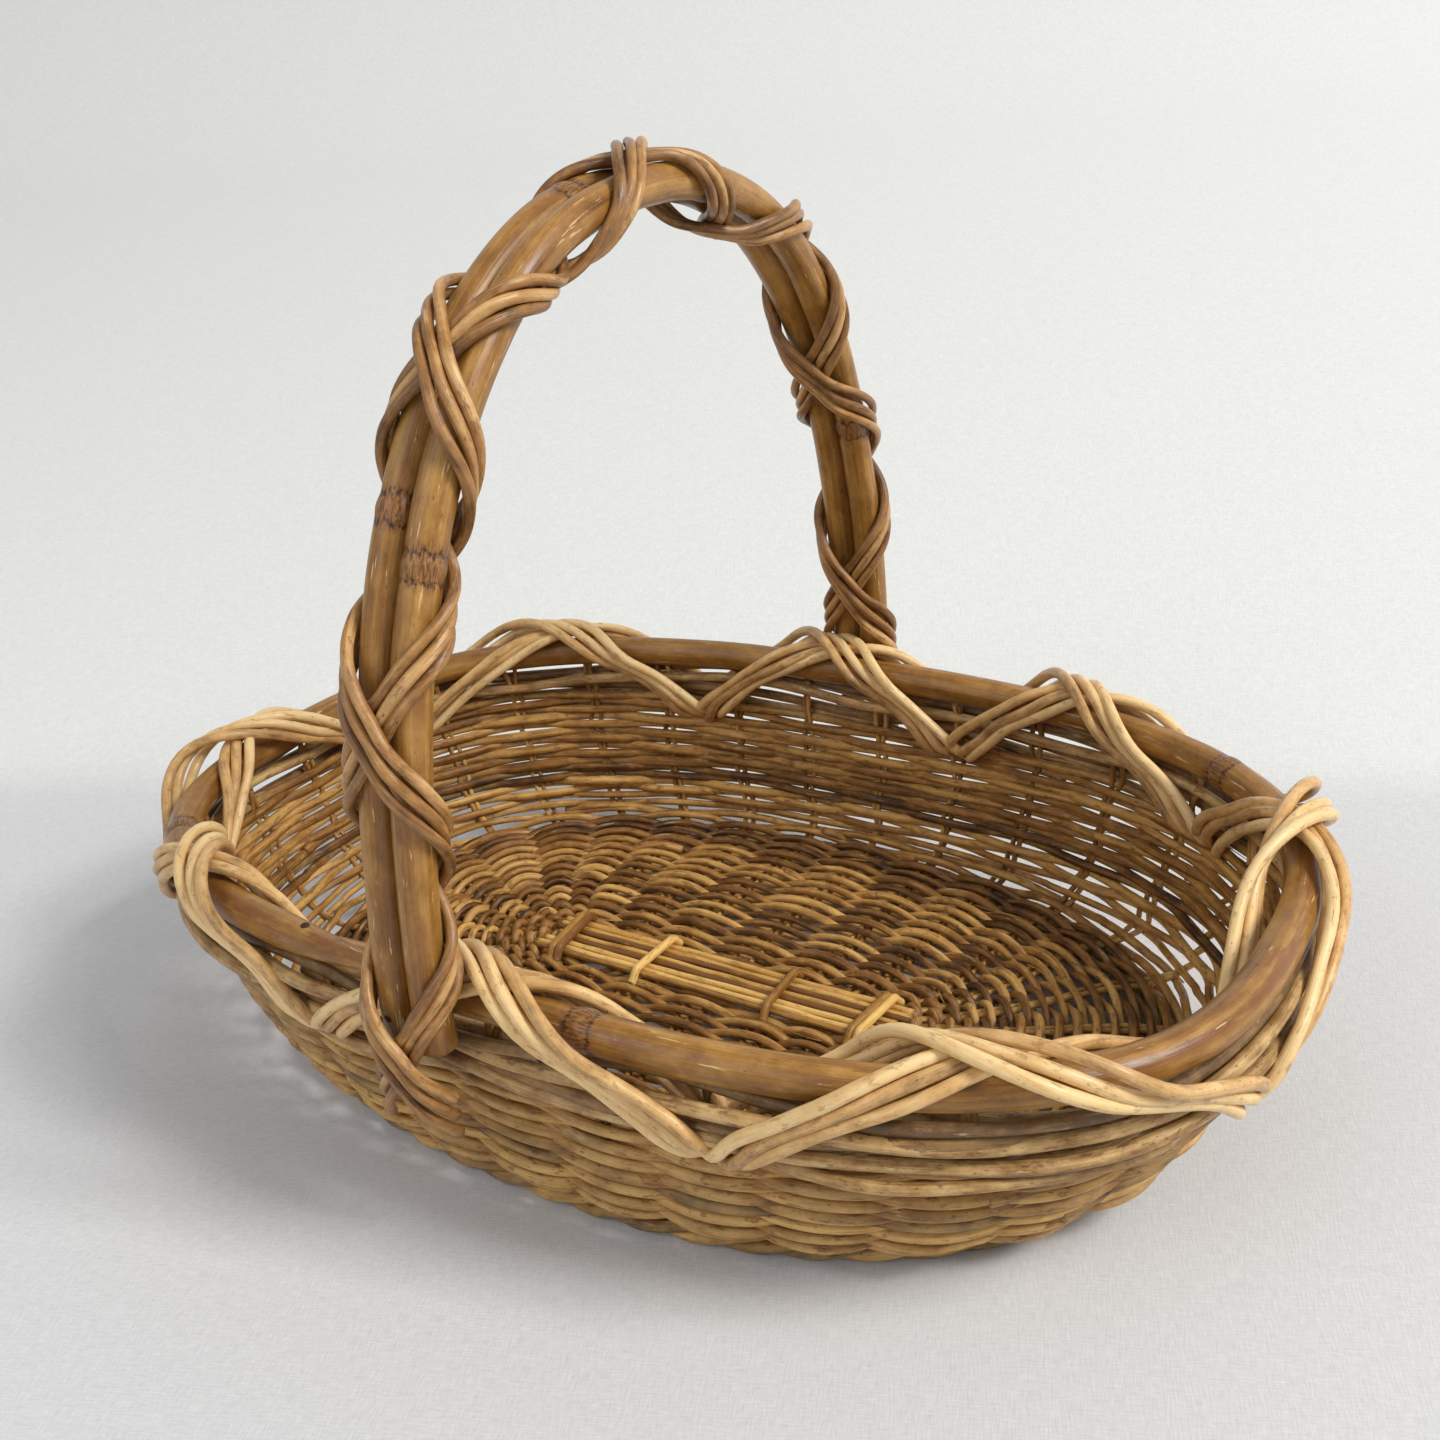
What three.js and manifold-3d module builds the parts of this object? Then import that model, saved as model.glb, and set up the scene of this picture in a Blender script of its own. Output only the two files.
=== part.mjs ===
// Woven market basket: an oval bowl of cane weave under a thick bound rim, with an arched
// carrying handle of two canes. Millimetres, +Z up, +X along the basket, handle over the Y axis.
// The origin is on the surface the basket stands on, under its middle.
import * as THREE from 'three';
import { mergeVertices } from 'three/addons/utils/BufferGeometryUtils.js';
import Module from 'manifold-3d';

const wasm = await Module();
wasm.setup();

// ---- Driving dimensions -------------------------------------------------------------------
const GAP = 0.3; // between touching pieces

const RIM_HALF_LENGTH = 254; // of the rim hoop's centre line
const RIM_HALF_WIDTH = 162;
const RIM_HEIGHT = 107;
const RIM_END_DROP = 5.5; // the hoop dips this much at its two ends
const RIM_SQUARENESS = 2.66; // superellipse exponent: 2 is an ellipse
const RIM_RADIUS = 7.5;
const RIM_JOINT = 0.705; // where the hoop's ends meet, as a fraction of the way round
const RIM_NAIL = 0.69;
const RIM_NAIL_LENGTH = 8;

const FOOT_HALF_LENGTH = 212; // of the wall's middle surface at the floor
const FOOT_HALF_WIDTH = 144;
const FOOT_SQUARENESS = 2.3;
const FOOT_CANE_RADIUS = 2.9;
const FOOT_CANE_HALF_WIDTH = 138; // of the outer foot cane's centre line
const FOOT_JOINT_ANGLE = 0.3; // where the outer foot cane's ends meet; the inner one's are opposite
const CORNER_RADIUS = 14; // where the floor turns up into the wall
const WALL_CURVE = 0.85; // how soon the wall's flare is used up
const WEAVE_TOP = 60;
const WEAVE_THICKNESS = 2.2;

const STAKE_WIDTH = 7; // two sticks side by side
const STAKE_THICKNESS = 2.6;
const STAKE_SPACING = 57;
const STAKE_MARGIN = 0.85; // extra room beside the binding's passes through the wall, in spacings
const STAKE_START = 108; // where the stakes' inner ends lie, as a reach across the floor
const STAKE_TOP_OFFSET = -1.7; // the stakes lean in under the hoop, behind the wales
const STAKE_PLAY = 0.6; // each skin stands off the stakes by this much more than the gap

const WALE_RADIUS = 2.6;
const WALE_COUNT = 3;
const WALE_OFFSET = 3.4; // outward from the hoop's centre line
const WALE_JOINT = 0.1; // where the uppermost wale's ends meet, as a fraction of the way round
const WALE_JOINT_STEP = 0.3; // and how much further round each lower one is joined

const SPINE_HALF_LENGTH = 96;
const SPINE_STICK_RADIUS = 1.9;
const SPINE_STICK_COUNT = 8;
const SPINE_STICK_BITE = 0.1; // neighbouring sticks run into each other by this much
const TIE_RADIUS = 1.9;
const TIE_HALF_LENGTH = 17;
const TIE_PLACES = [-84, -34, 36, 83]; // along X

const HANDLE_HALF_SPAN = 178; // of the canes' centre line at their feet
const HANDLE_FOOT_HEIGHT = 88;
const HANDLE_HEIGHT = 371;
const HANDLE_SQUARENESS = 2.32;
const HANDLE_FOOT_X = -9;
const HANDLE_LEAN = 0.028; // X gained per millimetre of height
const CANE_RADIUS = 7.4;
const CANE_OFFSET = CANE_RADIUS + GAP / 2; // of each cane from the handle's middle
const NAIL_HEIGHT = 106;
const NAIL_LENGTH = 8;
const NAIL_HEAD_RADIUS = 2.4;
const NAIL_HEAD_HEIGHT = 0.9;
const NAIL_FACE_RADIUS = 1.9;
const NAIL_SHANK_RADIUS = 1;

const STRAND_RADIUS = 2.4;
const STRANDS_PER_BUNDLE = 3;
const RIM_STRAND_STEP = 11.5; // between neighbouring strands, measured along the hoop
const HANDLE_STRAND_STEP = 9.4; // and along the handle
const HANDLE_TURNS = 6;
// Where the two rim bundles cross over the hoop, as fractions of the way round from +X.
const RIM_CROSSINGS = [0.05, 0.16, 0.26, 0.38, 0.53, 0.63, 0.76, 0.89];
const RIM_LOOP_DEPTH = 22; // from the hoop's centre line to the middle of the loop's lower bend
const LOOP_STEPS = 8; // steps in the bends of one loop
const BEND = (2 * Math.PI) / LOOP_STEPS;
const NOTCH_CLEARANCE = 2.5; // strands that the canes' pared feet clear above the hoop

// ---- How finely curves are divided ---------------------------------------------------------
const POLE_SIDES = 8;
const FOOT_CANE_SIDES = 6;
const STICK_SIDES = 6;
const STRAND_SIDES = 4;
const NAIL_SIDES = 7;
const RIM_LINE_POINTS = 96;
const HANDLE_LINE_STEPS = 60;
const LINE_DIVISIONS = 800;
const HOOP_STEPS = 64;
const WALE_STEPS = 56;
const CANE_STEPS = 40;
const BOWL_STEPS = 48;
const CORNER_STEPS = 2;
const WALL_STEPS = 2;
const WELD_DISTANCE = 1e-4;
const SEARCH_ANGLE = 0.6; // either side of a stake's top, where the rest of it is looked for
const SEARCH_HALVINGS = 30;

// ---- Levels that follow from the driving dimensions ----------------------------------------
const FOOT_TOP = 2 * FOOT_CANE_RADIUS * Math.cos(Math.PI / FOOT_CANE_SIDES);
const OUTER_FLOOR = FOOT_TOP + GAP;
const SHELL_OFFSET = STAKE_THICKNESS / 2 + GAP + STAKE_PLAY; // from the middle surface to a skin
const FACET_ALLOWANCE = 1; // the outer skin's flat facets cut inside its curve by less than this
const STAKE_FLOOR = OUTER_FLOOR + WEAVE_THICKNESS + SHELL_OFFSET + FACET_ALLOWANCE;
const INNER_FLOOR = STAKE_FLOOR + SHELL_OFFSET;
const SPINE_HEIGHT = INNER_FLOOR + SPINE_STICK_RADIUS;
const SPINE_PITCH = 2 * SPINE_STICK_RADIUS - SPINE_STICK_BITE;
const SPINE_HALF_WIDTH = (SPINE_PITCH * (SPINE_STICK_COUNT - 1)) / 2 + SPINE_STICK_RADIUS;
const LOOP_SAG = 1 - Math.cos(BEND / 2); // how far a chord cuts inside its bend
const STRAND_PITCH = 2 * STRAND_RADIUS + 2 * GAP;
const STRAND_LIFT = STRAND_PITCH / (1 - LOOP_SAG); // of the upper bundle where two cross
const RIM_LOOP_RADIUS = (RIM_RADIUS + GAP + STRAND_RADIUS) / (1 - LOOP_SAG);
const HANDLE_LOOP_RADIUS = (CANE_RADIUS + GAP + STRAND_RADIUS) / (1 - LOOP_SAG);

// ---- Materials -----------------------------------------------------------------------------
const LOOKS = {
  rim: [0xb58c54, 0.42],
  handle: [0xbf9459, 0.38],
  binding: [0xc6a577, 0.55],
  weave: [0xa27c48, 0.68],
  stake: [0x9b7644, 0.65],
  spine: [0xad8a50, 0.62],
  nail: [0x4a4038, 0.5],
};

const basket = new THREE.Group();

function addPiece(name, look, geometry) {
  const [color, roughness] = LOOKS[look];
  const metalness = look === 'nail' ? 0.8 : 0;
  const material = new THREE.MeshStandardMaterial({ color, roughness, metalness });
  const piece = new THREE.Mesh(geometry, material);
  piece.name = name;
  basket.add(piece);
  return piece;
}

// ---- Solids --------------------------------------------------------------------------------
function toManifold(geometry) {
  const bare = geometry.clone();
  bare.deleteAttribute('normal');
  bare.deleteAttribute('uv');
  const merged = mergeVertices(bare, WELD_DISTANCE);
  const vertProperties = new Float32Array(merged.attributes.position.array);
  const triVerts = new Uint32Array(merged.index.array);
  return new wasm.Manifold(new wasm.Mesh({ numProp: 3, vertProperties, triVerts }));
}

function toGeometry(solid) {
  const mesh = solid.getMesh();
  const geometry = new THREE.BufferGeometry();
  geometry.setAttribute('position', new THREE.BufferAttribute(mesh.vertProperties, 3));
  geometry.setIndex(new THREE.BufferAttribute(mesh.triVerts, 1));
  geometry.computeVertexNormals();
  return geometry;
}

function subtractAll(geometry, cutters) {
  const whole = toManifold(geometry);
  return toGeometry(cutters.reduce((solid, cutter) => solid.subtract(cutter), whole));
}

// A path through given stops, with one straight step from each stop to the next.
class StopPath extends THREE.Curve {
  constructor(stops) {
    super();
    this.stops = stops;
  }

  getPoint(t, target = new THREE.Vector3()) {
    const last = this.stops.length - 1;
    const place = THREE.MathUtils.clamp(t, 0, 1) * last;
    const from = Math.min(Math.floor(place), last - 1);
    return target.lerpVectors(this.stops[from], this.stops[from + 1], place - from);
  }

  getUtoTmapping(u) {
    return u;
  }
}

function sweep(section, stops) {
  const extrudePath = new StopPath(stops);
  return new THREE.ExtrudeGeometry(section, { steps: stops.length - 1, extrudePath });
}

function polygonSection(radius, sides) {
  const corners = Array.from({ length: sides }, (_, i) => {
    const angle = ((i + 0.5) * 2 * Math.PI) / sides;
    return new THREE.Vector2(radius * Math.cos(angle), radius * Math.sin(angle));
  });
  return new THREE.Shape(corners);
}

function rectangleSection(x, y) {
  const corners = [[-x, -y], [x, -y], [x, y], [-x, y]];
  return new THREE.Shape(corners.map(([u, v]) => new THREE.Vector2(u / 2, v / 2)));
}

// ---- The oval plan and the bowl's middle surface -------------------------------------------
function ovalPoint(angle, halfLength, halfWidth, squareness) {
  const across = Math.abs(Math.cos(angle) / halfLength) ** squareness;
  const along = Math.abs(Math.sin(angle) / halfWidth) ** squareness;
  const radius = (across + along) ** (-1 / squareness);
  return new THREE.Vector2(radius * Math.cos(angle), radius * Math.sin(angle));
}

function flareAt(height) {
  const climbed = THREE.MathUtils.clamp(height / RIM_HEIGHT, 0, 1);
  return Math.sin((climbed * Math.PI) / 2) ** WALL_CURVE;
}

// The point over the plan direction `angle` that is `reach` from the long axis on the short side.
function bowlPoint(angle, reach, height) {
  const flare = flareAt(height);
  const footExtra = FOOT_HALF_LENGTH - FOOT_HALF_WIDTH;
  const rimExtra = RIM_HALF_LENGTH - RIM_HALF_WIDTH;
  const inner = Math.min(1, reach / (FOOT_HALF_WIDTH - CORNER_RADIUS));
  const extra = THREE.MathUtils.lerp(footExtra, rimExtra, flare) * inner;
  const squareness = THREE.MathUtils.lerp(FOOT_SQUARENESS, RIM_SQUARENESS, flare);
  const plan = ovalPoint(angle, reach + extra, reach, squareness);
  return new THREE.Vector3(plan.x, plan.y, height);
}

// [reach, height] pairs up the middle surface moved outward by `offset`, from the floor's
// end at `start` through the corner to the height `top`.
function bowlProfile(offset, start, top) {
  const profile = [[start, STAKE_FLOOR - offset]];
  const radius = CORNER_RADIUS + offset;
  const cornerTop = STAKE_FLOOR + CORNER_RADIUS;
  const footReach = FOOT_HALF_WIDTH + (RIM_HALF_WIDTH - FOOT_HALF_WIDTH) * flareAt(cornerTop);
  for (let i = 0; i <= CORNER_STEPS; i += 1) {
    const turn = (i / CORNER_STEPS) * (Math.PI / 2);
    const reach = footReach - CORNER_RADIUS + radius * Math.sin(turn);
    profile.push([reach, cornerTop - radius * Math.cos(turn)]);
  }
  for (let i = 1; i <= WALL_STEPS; i += 1) {
    const height = THREE.MathUtils.lerp(cornerTop, top, i / WALL_STEPS);
    const reach = FOOT_HALF_WIDTH + (RIM_HALF_WIDTH - FOOT_HALF_WIDTH) * flareAt(height);
    profile.push([reach + offset, height]);
  }
  return profile;
}

// ---- The rim's centre line -----------------------------------------------------------------
const rimLine = (() => {
  const points = Array.from({ length: RIM_LINE_POINTS }, (_, i) => {
    const angle = (i / RIM_LINE_POINTS) * 2 * Math.PI;
    const plan = ovalPoint(angle, RIM_HALF_LENGTH, RIM_HALF_WIDTH, RIM_SQUARENESS);
    const drop = RIM_END_DROP * (plan.x / RIM_HALF_LENGTH) ** 2;
    return new THREE.Vector3(plan.x, plan.y, RIM_HEIGHT - drop);
  });
  const line = new THREE.CatmullRomCurve3(points, true);
  line.arcLengthDivisions = LINE_DIVISIONS;
  return line;
})();

const RIM_LENGTH = rimLine.getLength();

// A point beside the rim's centre line: `out` is horizontal and away from the basket.
function besideRim(fraction, out, up) {
  const around = THREE.MathUtils.euclideanModulo(fraction, 1);
  const tangent = rimLine.getTangentAt(around);
  const outward = new THREE.Vector3(tangent.y, -tangent.x, 0).normalize();
  const point = rimLine.getPointAt(around).addScaledVector(outward, out);
  point.z += up;
  return point;
}

function ringStops(steps, place) {
  return Array.from({ length: steps + 1 }, (_, i) => place(i / steps));
}

// An almost closed ring beside the rim, cut at the fraction `joint`.
function rimRing(section, steps, joint, out, up) {
  const half = GAP / 2 / RIM_LENGTH;
  const place = (t) => besideRim(joint + THREE.MathUtils.lerp(half, 1 - half, t), out, up);
  return sweep(section, ringStops(steps, place));
}

// ---- Loops that bind the rim and the handle ------------------------------------------------
// A loop runs round an oblong core: two half-turns `spread` apart joined by straight runs.
// Its stops are [travel, sideways, lengthways], with travel as a fraction of the loop, from
// the end at +lengthways round through +sideways. The two ends stand out by `lift`.
function loopStops(radius, spread, lift) {
  const straight = 2 * spread;
  const bend = 2 * radius * Math.sin(BEND / 2);
  const whole = LOOP_STEPS * bend + 2 * straight;
  const stops = [];
  let travel = 0;
  for (let i = 0; i < LOOP_STEPS; i += 1) {
    const angle = i * BEND;
    const far = i <= 2 || i > 6 ? spread : -spread;
    const reach = i % 4 === 2 ? radius : radius + lift;
    stops.push([travel, reach * Math.sin(angle), far + reach * Math.cos(angle)]);
    const crossesStraight = i === 2 || i === 6;
    if (crossesStraight) {
      travel += straight / whole;
      stops.push([travel, radius * Math.sin(angle), -far]);
    }
    travel += bend / whole;
  }
  return stops;
}

function bindingStops(loop, turns, hand, place) {
  const stops = [];
  for (let turn = 0; turn < turns; turn += 1) {
    for (const [travel, sideways, lengthways] of loop) {
      stops.push(place(turn + travel, hand * sideways, lengthways));
    }
  }
  return stops;
}

// ---- Rim hoop, its wales and its binding ---------------------------------------------------
// The crossings are uneven, so the turns of the binding are mapped to places on the rim.
function rimPlaceOfTurn(turn) {
  const count = RIM_CROSSINGS.length;
  const whole = Math.floor(turn);
  const crossing = (n) => RIM_CROSSINGS[THREE.MathUtils.euclideanModulo(n, count)];
  const at = (n) => crossing(n) + Math.floor(n / count);
  return THREE.MathUtils.lerp(at(whole), at(whole + 1), turn - whole);
}

function rimStrandPath(hand, index) {
  const lift = hand > 0 ? STRAND_LIFT : 0; // the outward-going bundle lies over the other one
  const shift = ((index - 1) * RIM_STRAND_STEP) / RIM_LENGTH;
  const loop = loopStops(RIM_LOOP_RADIUS, RIM_LOOP_DEPTH / 2, lift);
  const place = (turn, sideways, lengthways) =>
    besideRim(rimPlaceOfTurn(turn) + shift, sideways, lengthways - RIM_LOOP_DEPTH / 2);
  return bindingStops(loop, RIM_CROSSINGS.length, hand, place);
}

function buildRim() {
  for (const [side, hand] of [['a', 1], ['b', -1]]) {
    for (let i = 0; i < STRANDS_PER_BUNDLE; i += 1) {
      const strand = sweep(polygonSection(STRAND_RADIUS, STRAND_SIDES), rimStrandPath(hand, i));
      addPiece(`rim_binding_${side}${i + 1}`, 'binding', strand);
    }
  }
  for (let i = 0; i < WALE_COUNT; i += 1) {
    const pitch = 2 * WALE_RADIUS + GAP;
    const up = -(RIM_RADIUS + GAP + WALE_RADIUS) - i * pitch;
    const joint = WALE_JOINT + WALE_JOINT_STEP * i;
    const section = polygonSection(WALE_RADIUS, STRAND_SIDES);
    addPiece(`wale_${i + 1}`, 'weave', rimRing(section, WALE_STEPS, joint, WALE_OFFSET, up));
  }
}

// ---- Handle --------------------------------------------------------------------------------
const handleLine = (() => {
  const power = 2 / HANDLE_SQUARENESS;
  const height = HANDLE_HEIGHT - HANDLE_FOOT_HEIGHT;
  const points = Array.from({ length: HANDLE_LINE_STEPS + 1 }, (_, i) => {
    const angle = (i / HANDLE_LINE_STEPS) * Math.PI;
    const side = -Math.sign(Math.cos(angle));
    const y = side * HANDLE_HALF_SPAN * Math.abs(Math.cos(angle)) ** power;
    const rise = height * Math.abs(Math.sin(angle)) ** power;
    return new THREE.Vector3(HANDLE_FOOT_X + HANDLE_LEAN * rise, y, HANDLE_FOOT_HEIGHT + rise);
  });
  const line = new THREE.CatmullRomCurve3(points);
  line.arcLengthDivisions = LINE_DIVISIONS;
  return line;
})();

const HANDLE_LENGTH = handleLine.getLength();

// A point beside the handle's middle: `out` is away from the inside of the arch.
function besideHandle(fraction, right, out) {
  const along = THREE.MathUtils.clamp(fraction, 0, 1);
  const tangent = handleLine.getTangentAt(along);
  const outward = new THREE.Vector3(0, -tangent.z, tangent.y).normalize();
  const point = handleLine.getPointAt(along).addScaledVector(outward, out);
  point.x += right;
  return point;
}

function handleStrandPath(hand, index) {
  const core = HANDLE_LOOP_RADIUS;
  const lift = hand > 0 ? STRAND_LIFT : 0;
  const shift = ((index + 0.5) * HANDLE_STRAND_STEP) / HANDLE_LENGTH;
  const bundleLength = STRANDS_PER_BUNDLE * HANDLE_STRAND_STEP;
  const travelScale = (1 - bundleLength / HANDLE_LENGTH) / HANDLE_TURNS;
  const stops = [];
  for (const [travel, across, over] of handleLoop()) {
    const raised = over + lift * Math.sign(over) * Math.abs(over / core) ** 2;
    stops.push(besideHandle(travel * travelScale + shift, -hand * across, raised));
  }
  return stops;
}

// Every stop of the whole binding, beginning and ending on the outside of the arch. The two
// canes lie side by side, so the oblong core is turned a quarter against the rim's.
function handleLoop() {
  const single = loopStops(HANDLE_LOOP_RADIUS, CANE_OFFSET, 0);
  const quarter = single.findIndex(([, sideways]) => sideways === HANDLE_LOOP_RADIUS);
  const half = single[quarter][0] + (single[quarter + 1][0] - single[quarter][0]) / 2;
  const turned = single.map(([travel, sideways, lengthways]) => [
    THREE.MathUtils.euclideanModulo(travel - half, 1),
    -lengthways,
    sideways,
  ]);
  turned.sort((first, second) => first[0] - second[0]);
  const turns = Array.from({ length: HANDLE_TURNS }, (_, turn) => turn);
  const inTurn = (turn) => turned.map(([travel, across, over]) => [turn + travel, across, over]);
  return turns.flatMap(inTurn);
}

function nailGeometry(length) {
  const profile = [
    [0, -length],
    [NAIL_SHANK_RADIUS, -length],
    [NAIL_SHANK_RADIUS, GAP],
    [NAIL_HEAD_RADIUS, GAP],
    [NAIL_FACE_RADIUS, NAIL_HEAD_HEIGHT],
    [0, NAIL_HEAD_HEIGHT],
  ];
  return new THREE.LatheGeometry(profile.map(([r, y]) => new THREE.Vector2(r, y)), NAIL_SIDES);
}

// A nail with its head at `head`, driven along `direction`; returns the hole it sits in.
function addNail(name, head, direction, length) {
  const nail = addPiece(name, 'nail', nailGeometry(length));
  nail.position.copy(head);
  nail.quaternion.setFromUnitVectors(new THREE.Vector3(0, -1, 0), direction);
  nail.updateMatrix();
  const holeRadius = NAIL_SHANK_RADIUS + GAP;
  const depth = 2 * (length + GAP);
  const hole = new THREE.CylinderGeometry(holeRadius, holeRadius, depth, NAIL_SIDES + 1);
  hole.applyMatrix4(nail.matrix);
  return toManifold(hole);
}

// The canes' feet are pared flat at the back, where they lie against the rim's binding.
function footNotch(side) {
  const widest = (RIM_LOOP_RADIUS + STRAND_LIFT) * Math.sin(BEND);
  const face = RIM_HALF_WIDTH + widest + STRAND_RADIUS + GAP;
  const top = RIM_HEIGHT + RIM_RADIUS + NOTCH_CLEARANCE * STRAND_PITCH;
  const bottom = HANDLE_FOOT_HEIGHT - CANE_RADIUS;
  const bothCanes = 4 * (CANE_OFFSET + CANE_RADIUS);
  const depth = 4 * CANE_RADIUS;
  const notch = new THREE.BoxGeometry(bothCanes, depth, top - bottom);
  notch.translate(HANDLE_FOOT_X, side * (face - depth / 2), (top + bottom) / 2);
  return toManifold(notch);
}

function buildHandleAndHoop() {
  const hoopNailHead = besideRim(RIM_NAIL, 0, RIM_RADIUS * Math.cos(Math.PI / POLE_SIDES));
  const down = new THREE.Vector3(0, 0, -1);
  const holes = [addNail('rim_nail', hoopNailHead, down, RIM_NAIL_LENGTH)];
  const footX = HANDLE_FOOT_X + HANDLE_LEAN * (NAIL_HEIGHT - HANDLE_FOOT_HEIGHT);
  for (const [end, side] of [['near', -1], ['far', 1]]) {
    for (const [cane, shift] of [['left', -CANE_OFFSET], ['right', CANE_OFFSET]]) {
      const face = HANDLE_HALF_SPAN + CANE_RADIUS * Math.cos(Math.PI / POLE_SIDES);
      const head = new THREE.Vector3(footX + shift, side * face, NAIL_HEIGHT);
      const inward = new THREE.Vector3(0, -side, 0);
      holes.push(addNail(`handle_nail_${end}_${cane}`, head, inward, NAIL_LENGTH));
    }
  }
  const hoop = rimRing(polygonSection(RIM_RADIUS, POLE_SIDES), HOOP_STEPS, RIM_JOINT, 0, 0);
  addPiece('rim_hoop', 'rim', subtractAll(hoop, holes));
  const section = polygonSection(CANE_RADIUS, POLE_SIDES);
  for (const [cane, shift] of [['left', -CANE_OFFSET], ['right', CANE_OFFSET]]) {
    const stops = ringStops(CANE_STEPS, (t) => besideHandle(t, shift, 0));
    const cutters = [...holes, footNotch(-1), footNotch(1)];
    addPiece(`handle_cane_${cane}`, 'handle', subtractAll(sweep(section, stops), cutters));
  }
  for (const [side, hand] of [['a', -1], ['b', 1]]) {
    for (let i = 0; i < STRANDS_PER_BUNDLE; i += 1) {
      const strand = sweep(polygonSection(STRAND_RADIUS, STRAND_SIDES), handleStrandPath(hand, i));
      addPiece(`handle_binding_${side}${i + 1}`, 'binding', strand);
    }
  }
}

// ---- Weave, stakes, spine and foot ---------------------------------------------------------
// A skin of weave between two offsets from the middle surface, closed over its rim and floor.
function weaveSkin(inOffset, outOffset) {
  const inside = bowlProfile(inOffset, 0, WEAVE_TOP);
  const outside = bowlProfile(outOffset, 0, WEAVE_TOP);
  const profile = [...outside, ...inside.reverse()];
  const lathe = new THREE.LatheGeometry(profile.map(([r, z]) => new THREE.Vector2(r, z)), BOWL_STEPS);
  const { position } = lathe.attributes;
  for (let i = 0; i < position.count; i += 1) {
    const reach = Math.hypot(position.getX(i), position.getZ(i));
    const height = position.getY(i);
    const angle = Math.atan2(-position.getZ(i), position.getX(i));
    const onAxis = reach < WELD_DISTANCE;
    const point = onAxis ? new THREE.Vector3(0, 0, height) : bowlPoint(angle, reach, height);
    position.setXYZ(i, point.x, point.y, point.z);
  }
  return lathe;
}

function buildWeave() {
  const inner = SHELL_OFFSET + WEAVE_THICKNESS;
  const outer = inner + FACET_ALLOWANCE;
  addPiece('weave_outside', 'weave', weaveSkin(SHELL_OFFSET + FACET_ALLOWANCE, outer));
  const slotHeight = 4 * WEAVE_THICKNESS;
  const slot = new THREE.BoxGeometry(
    2 * (SPINE_HALF_LENGTH + GAP),
    2 * (SPINE_HALF_WIDTH + GAP),
    slotHeight,
  );
  slot.translate(0, 0, INNER_FLOOR - GAP / 2 + slotHeight / 2);
  const inside = weaveSkin(-inner, -SHELL_OFFSET);
  addPiece('weave_inside', 'weave', subtractAll(inside, [toManifold(slot)]));
}

// The stakes stand between the binding's passes through the wall.
function stakePlaces() {
  const places = [];
  for (let turn = 0; turn < RIM_CROSSINGS.length; turn += 1) {
    const from = rimPlaceOfTurn(turn - 0.5);
    const span = rimPlaceOfTurn(turn + 0.5) - from;
    const count = Math.round((span * RIM_LENGTH) / STAKE_SPACING);
    for (let i = 0; i < count; i += 1) {
      places.push(from + (span * (i + (1 + STAKE_MARGIN) / 2)) / (count + STAKE_MARGIN));
    }
  }
  return places;
}

// Where the bowl at one reach and height meets the upright plane through `top` and `outward`.
function bowlPointInPlane(reach, height, top, outward) {
  const side = new THREE.Vector3(-outward.y, outward.x, 0);
  const middle = Math.atan2(top.y, top.x);
  let [low, high] = [middle - SEARCH_ANGLE, middle + SEARCH_ANGLE];
  for (let i = 0; i < SEARCH_HALVINGS; i += 1) {
    const angle = (low + high) / 2;
    const ahead = bowlPoint(angle, reach, height).sub(top).dot(side) > 0;
    [low, high] = ahead ? [low, angle] : [angle, high];
  }
  return bowlPoint((low + high) / 2, reach, height);
}

function buildStakes() {
  const section = rectangleSection(STAKE_THICKNESS, STAKE_WIDTH);
  const topDrop = -RIM_RADIUS - GAP - STAKE_THICKNESS / 2;
  stakePlaces().forEach((place, index) => {
    const top = besideRim(place, STAKE_TOP_OFFSET, topDrop);
    const outward = besideRim(place, STAKE_TOP_OFFSET + 1, topDrop).sub(top);
    const profile = bowlProfile(0, STAKE_START, WEAVE_TOP + GAP);
    const stops = profile.map(([reach, height]) => bowlPointInPlane(reach, height, top, outward));
    addPiece(`stake_${index + 1}`, 'stake', sweep(section, [...stops, top]));
  });
}

function stickGeometry(radius, halfLength) {
  return new THREE.CylinderGeometry(radius, radius, 2 * halfLength, STICK_SIDES);
}

function buildSpine() {
  const stick = (i) => {
    const y = (i - (SPINE_STICK_COUNT - 1) / 2) * SPINE_PITCH;
    const rod = stickGeometry(SPINE_STICK_RADIUS, SPINE_HALF_LENGTH);
    rod.rotateZ(Math.PI / 2).rotateX(Math.PI / STICK_SIDES);
    rod.translate(0, y, SPINE_HEIGHT);
    return toManifold(rod);
  };
  const sticks = Array.from({ length: SPINE_STICK_COUNT }, (_, i) => stick(i));
  addPiece('spine_band', 'spine', toGeometry(sticks.reduce((band, rod) => band.add(rod))));
  TIE_PLACES.forEach((x, index) => {
    const rod = stickGeometry(TIE_RADIUS, TIE_HALF_LENGTH);
    const tie = addPiece(`spine_tie_${index + 1}`, 'spine', rod);
    tie.position.set(x, 0, SPINE_HEIGHT + SPINE_STICK_RADIUS + GAP + TIE_RADIUS);
  });
}

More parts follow.
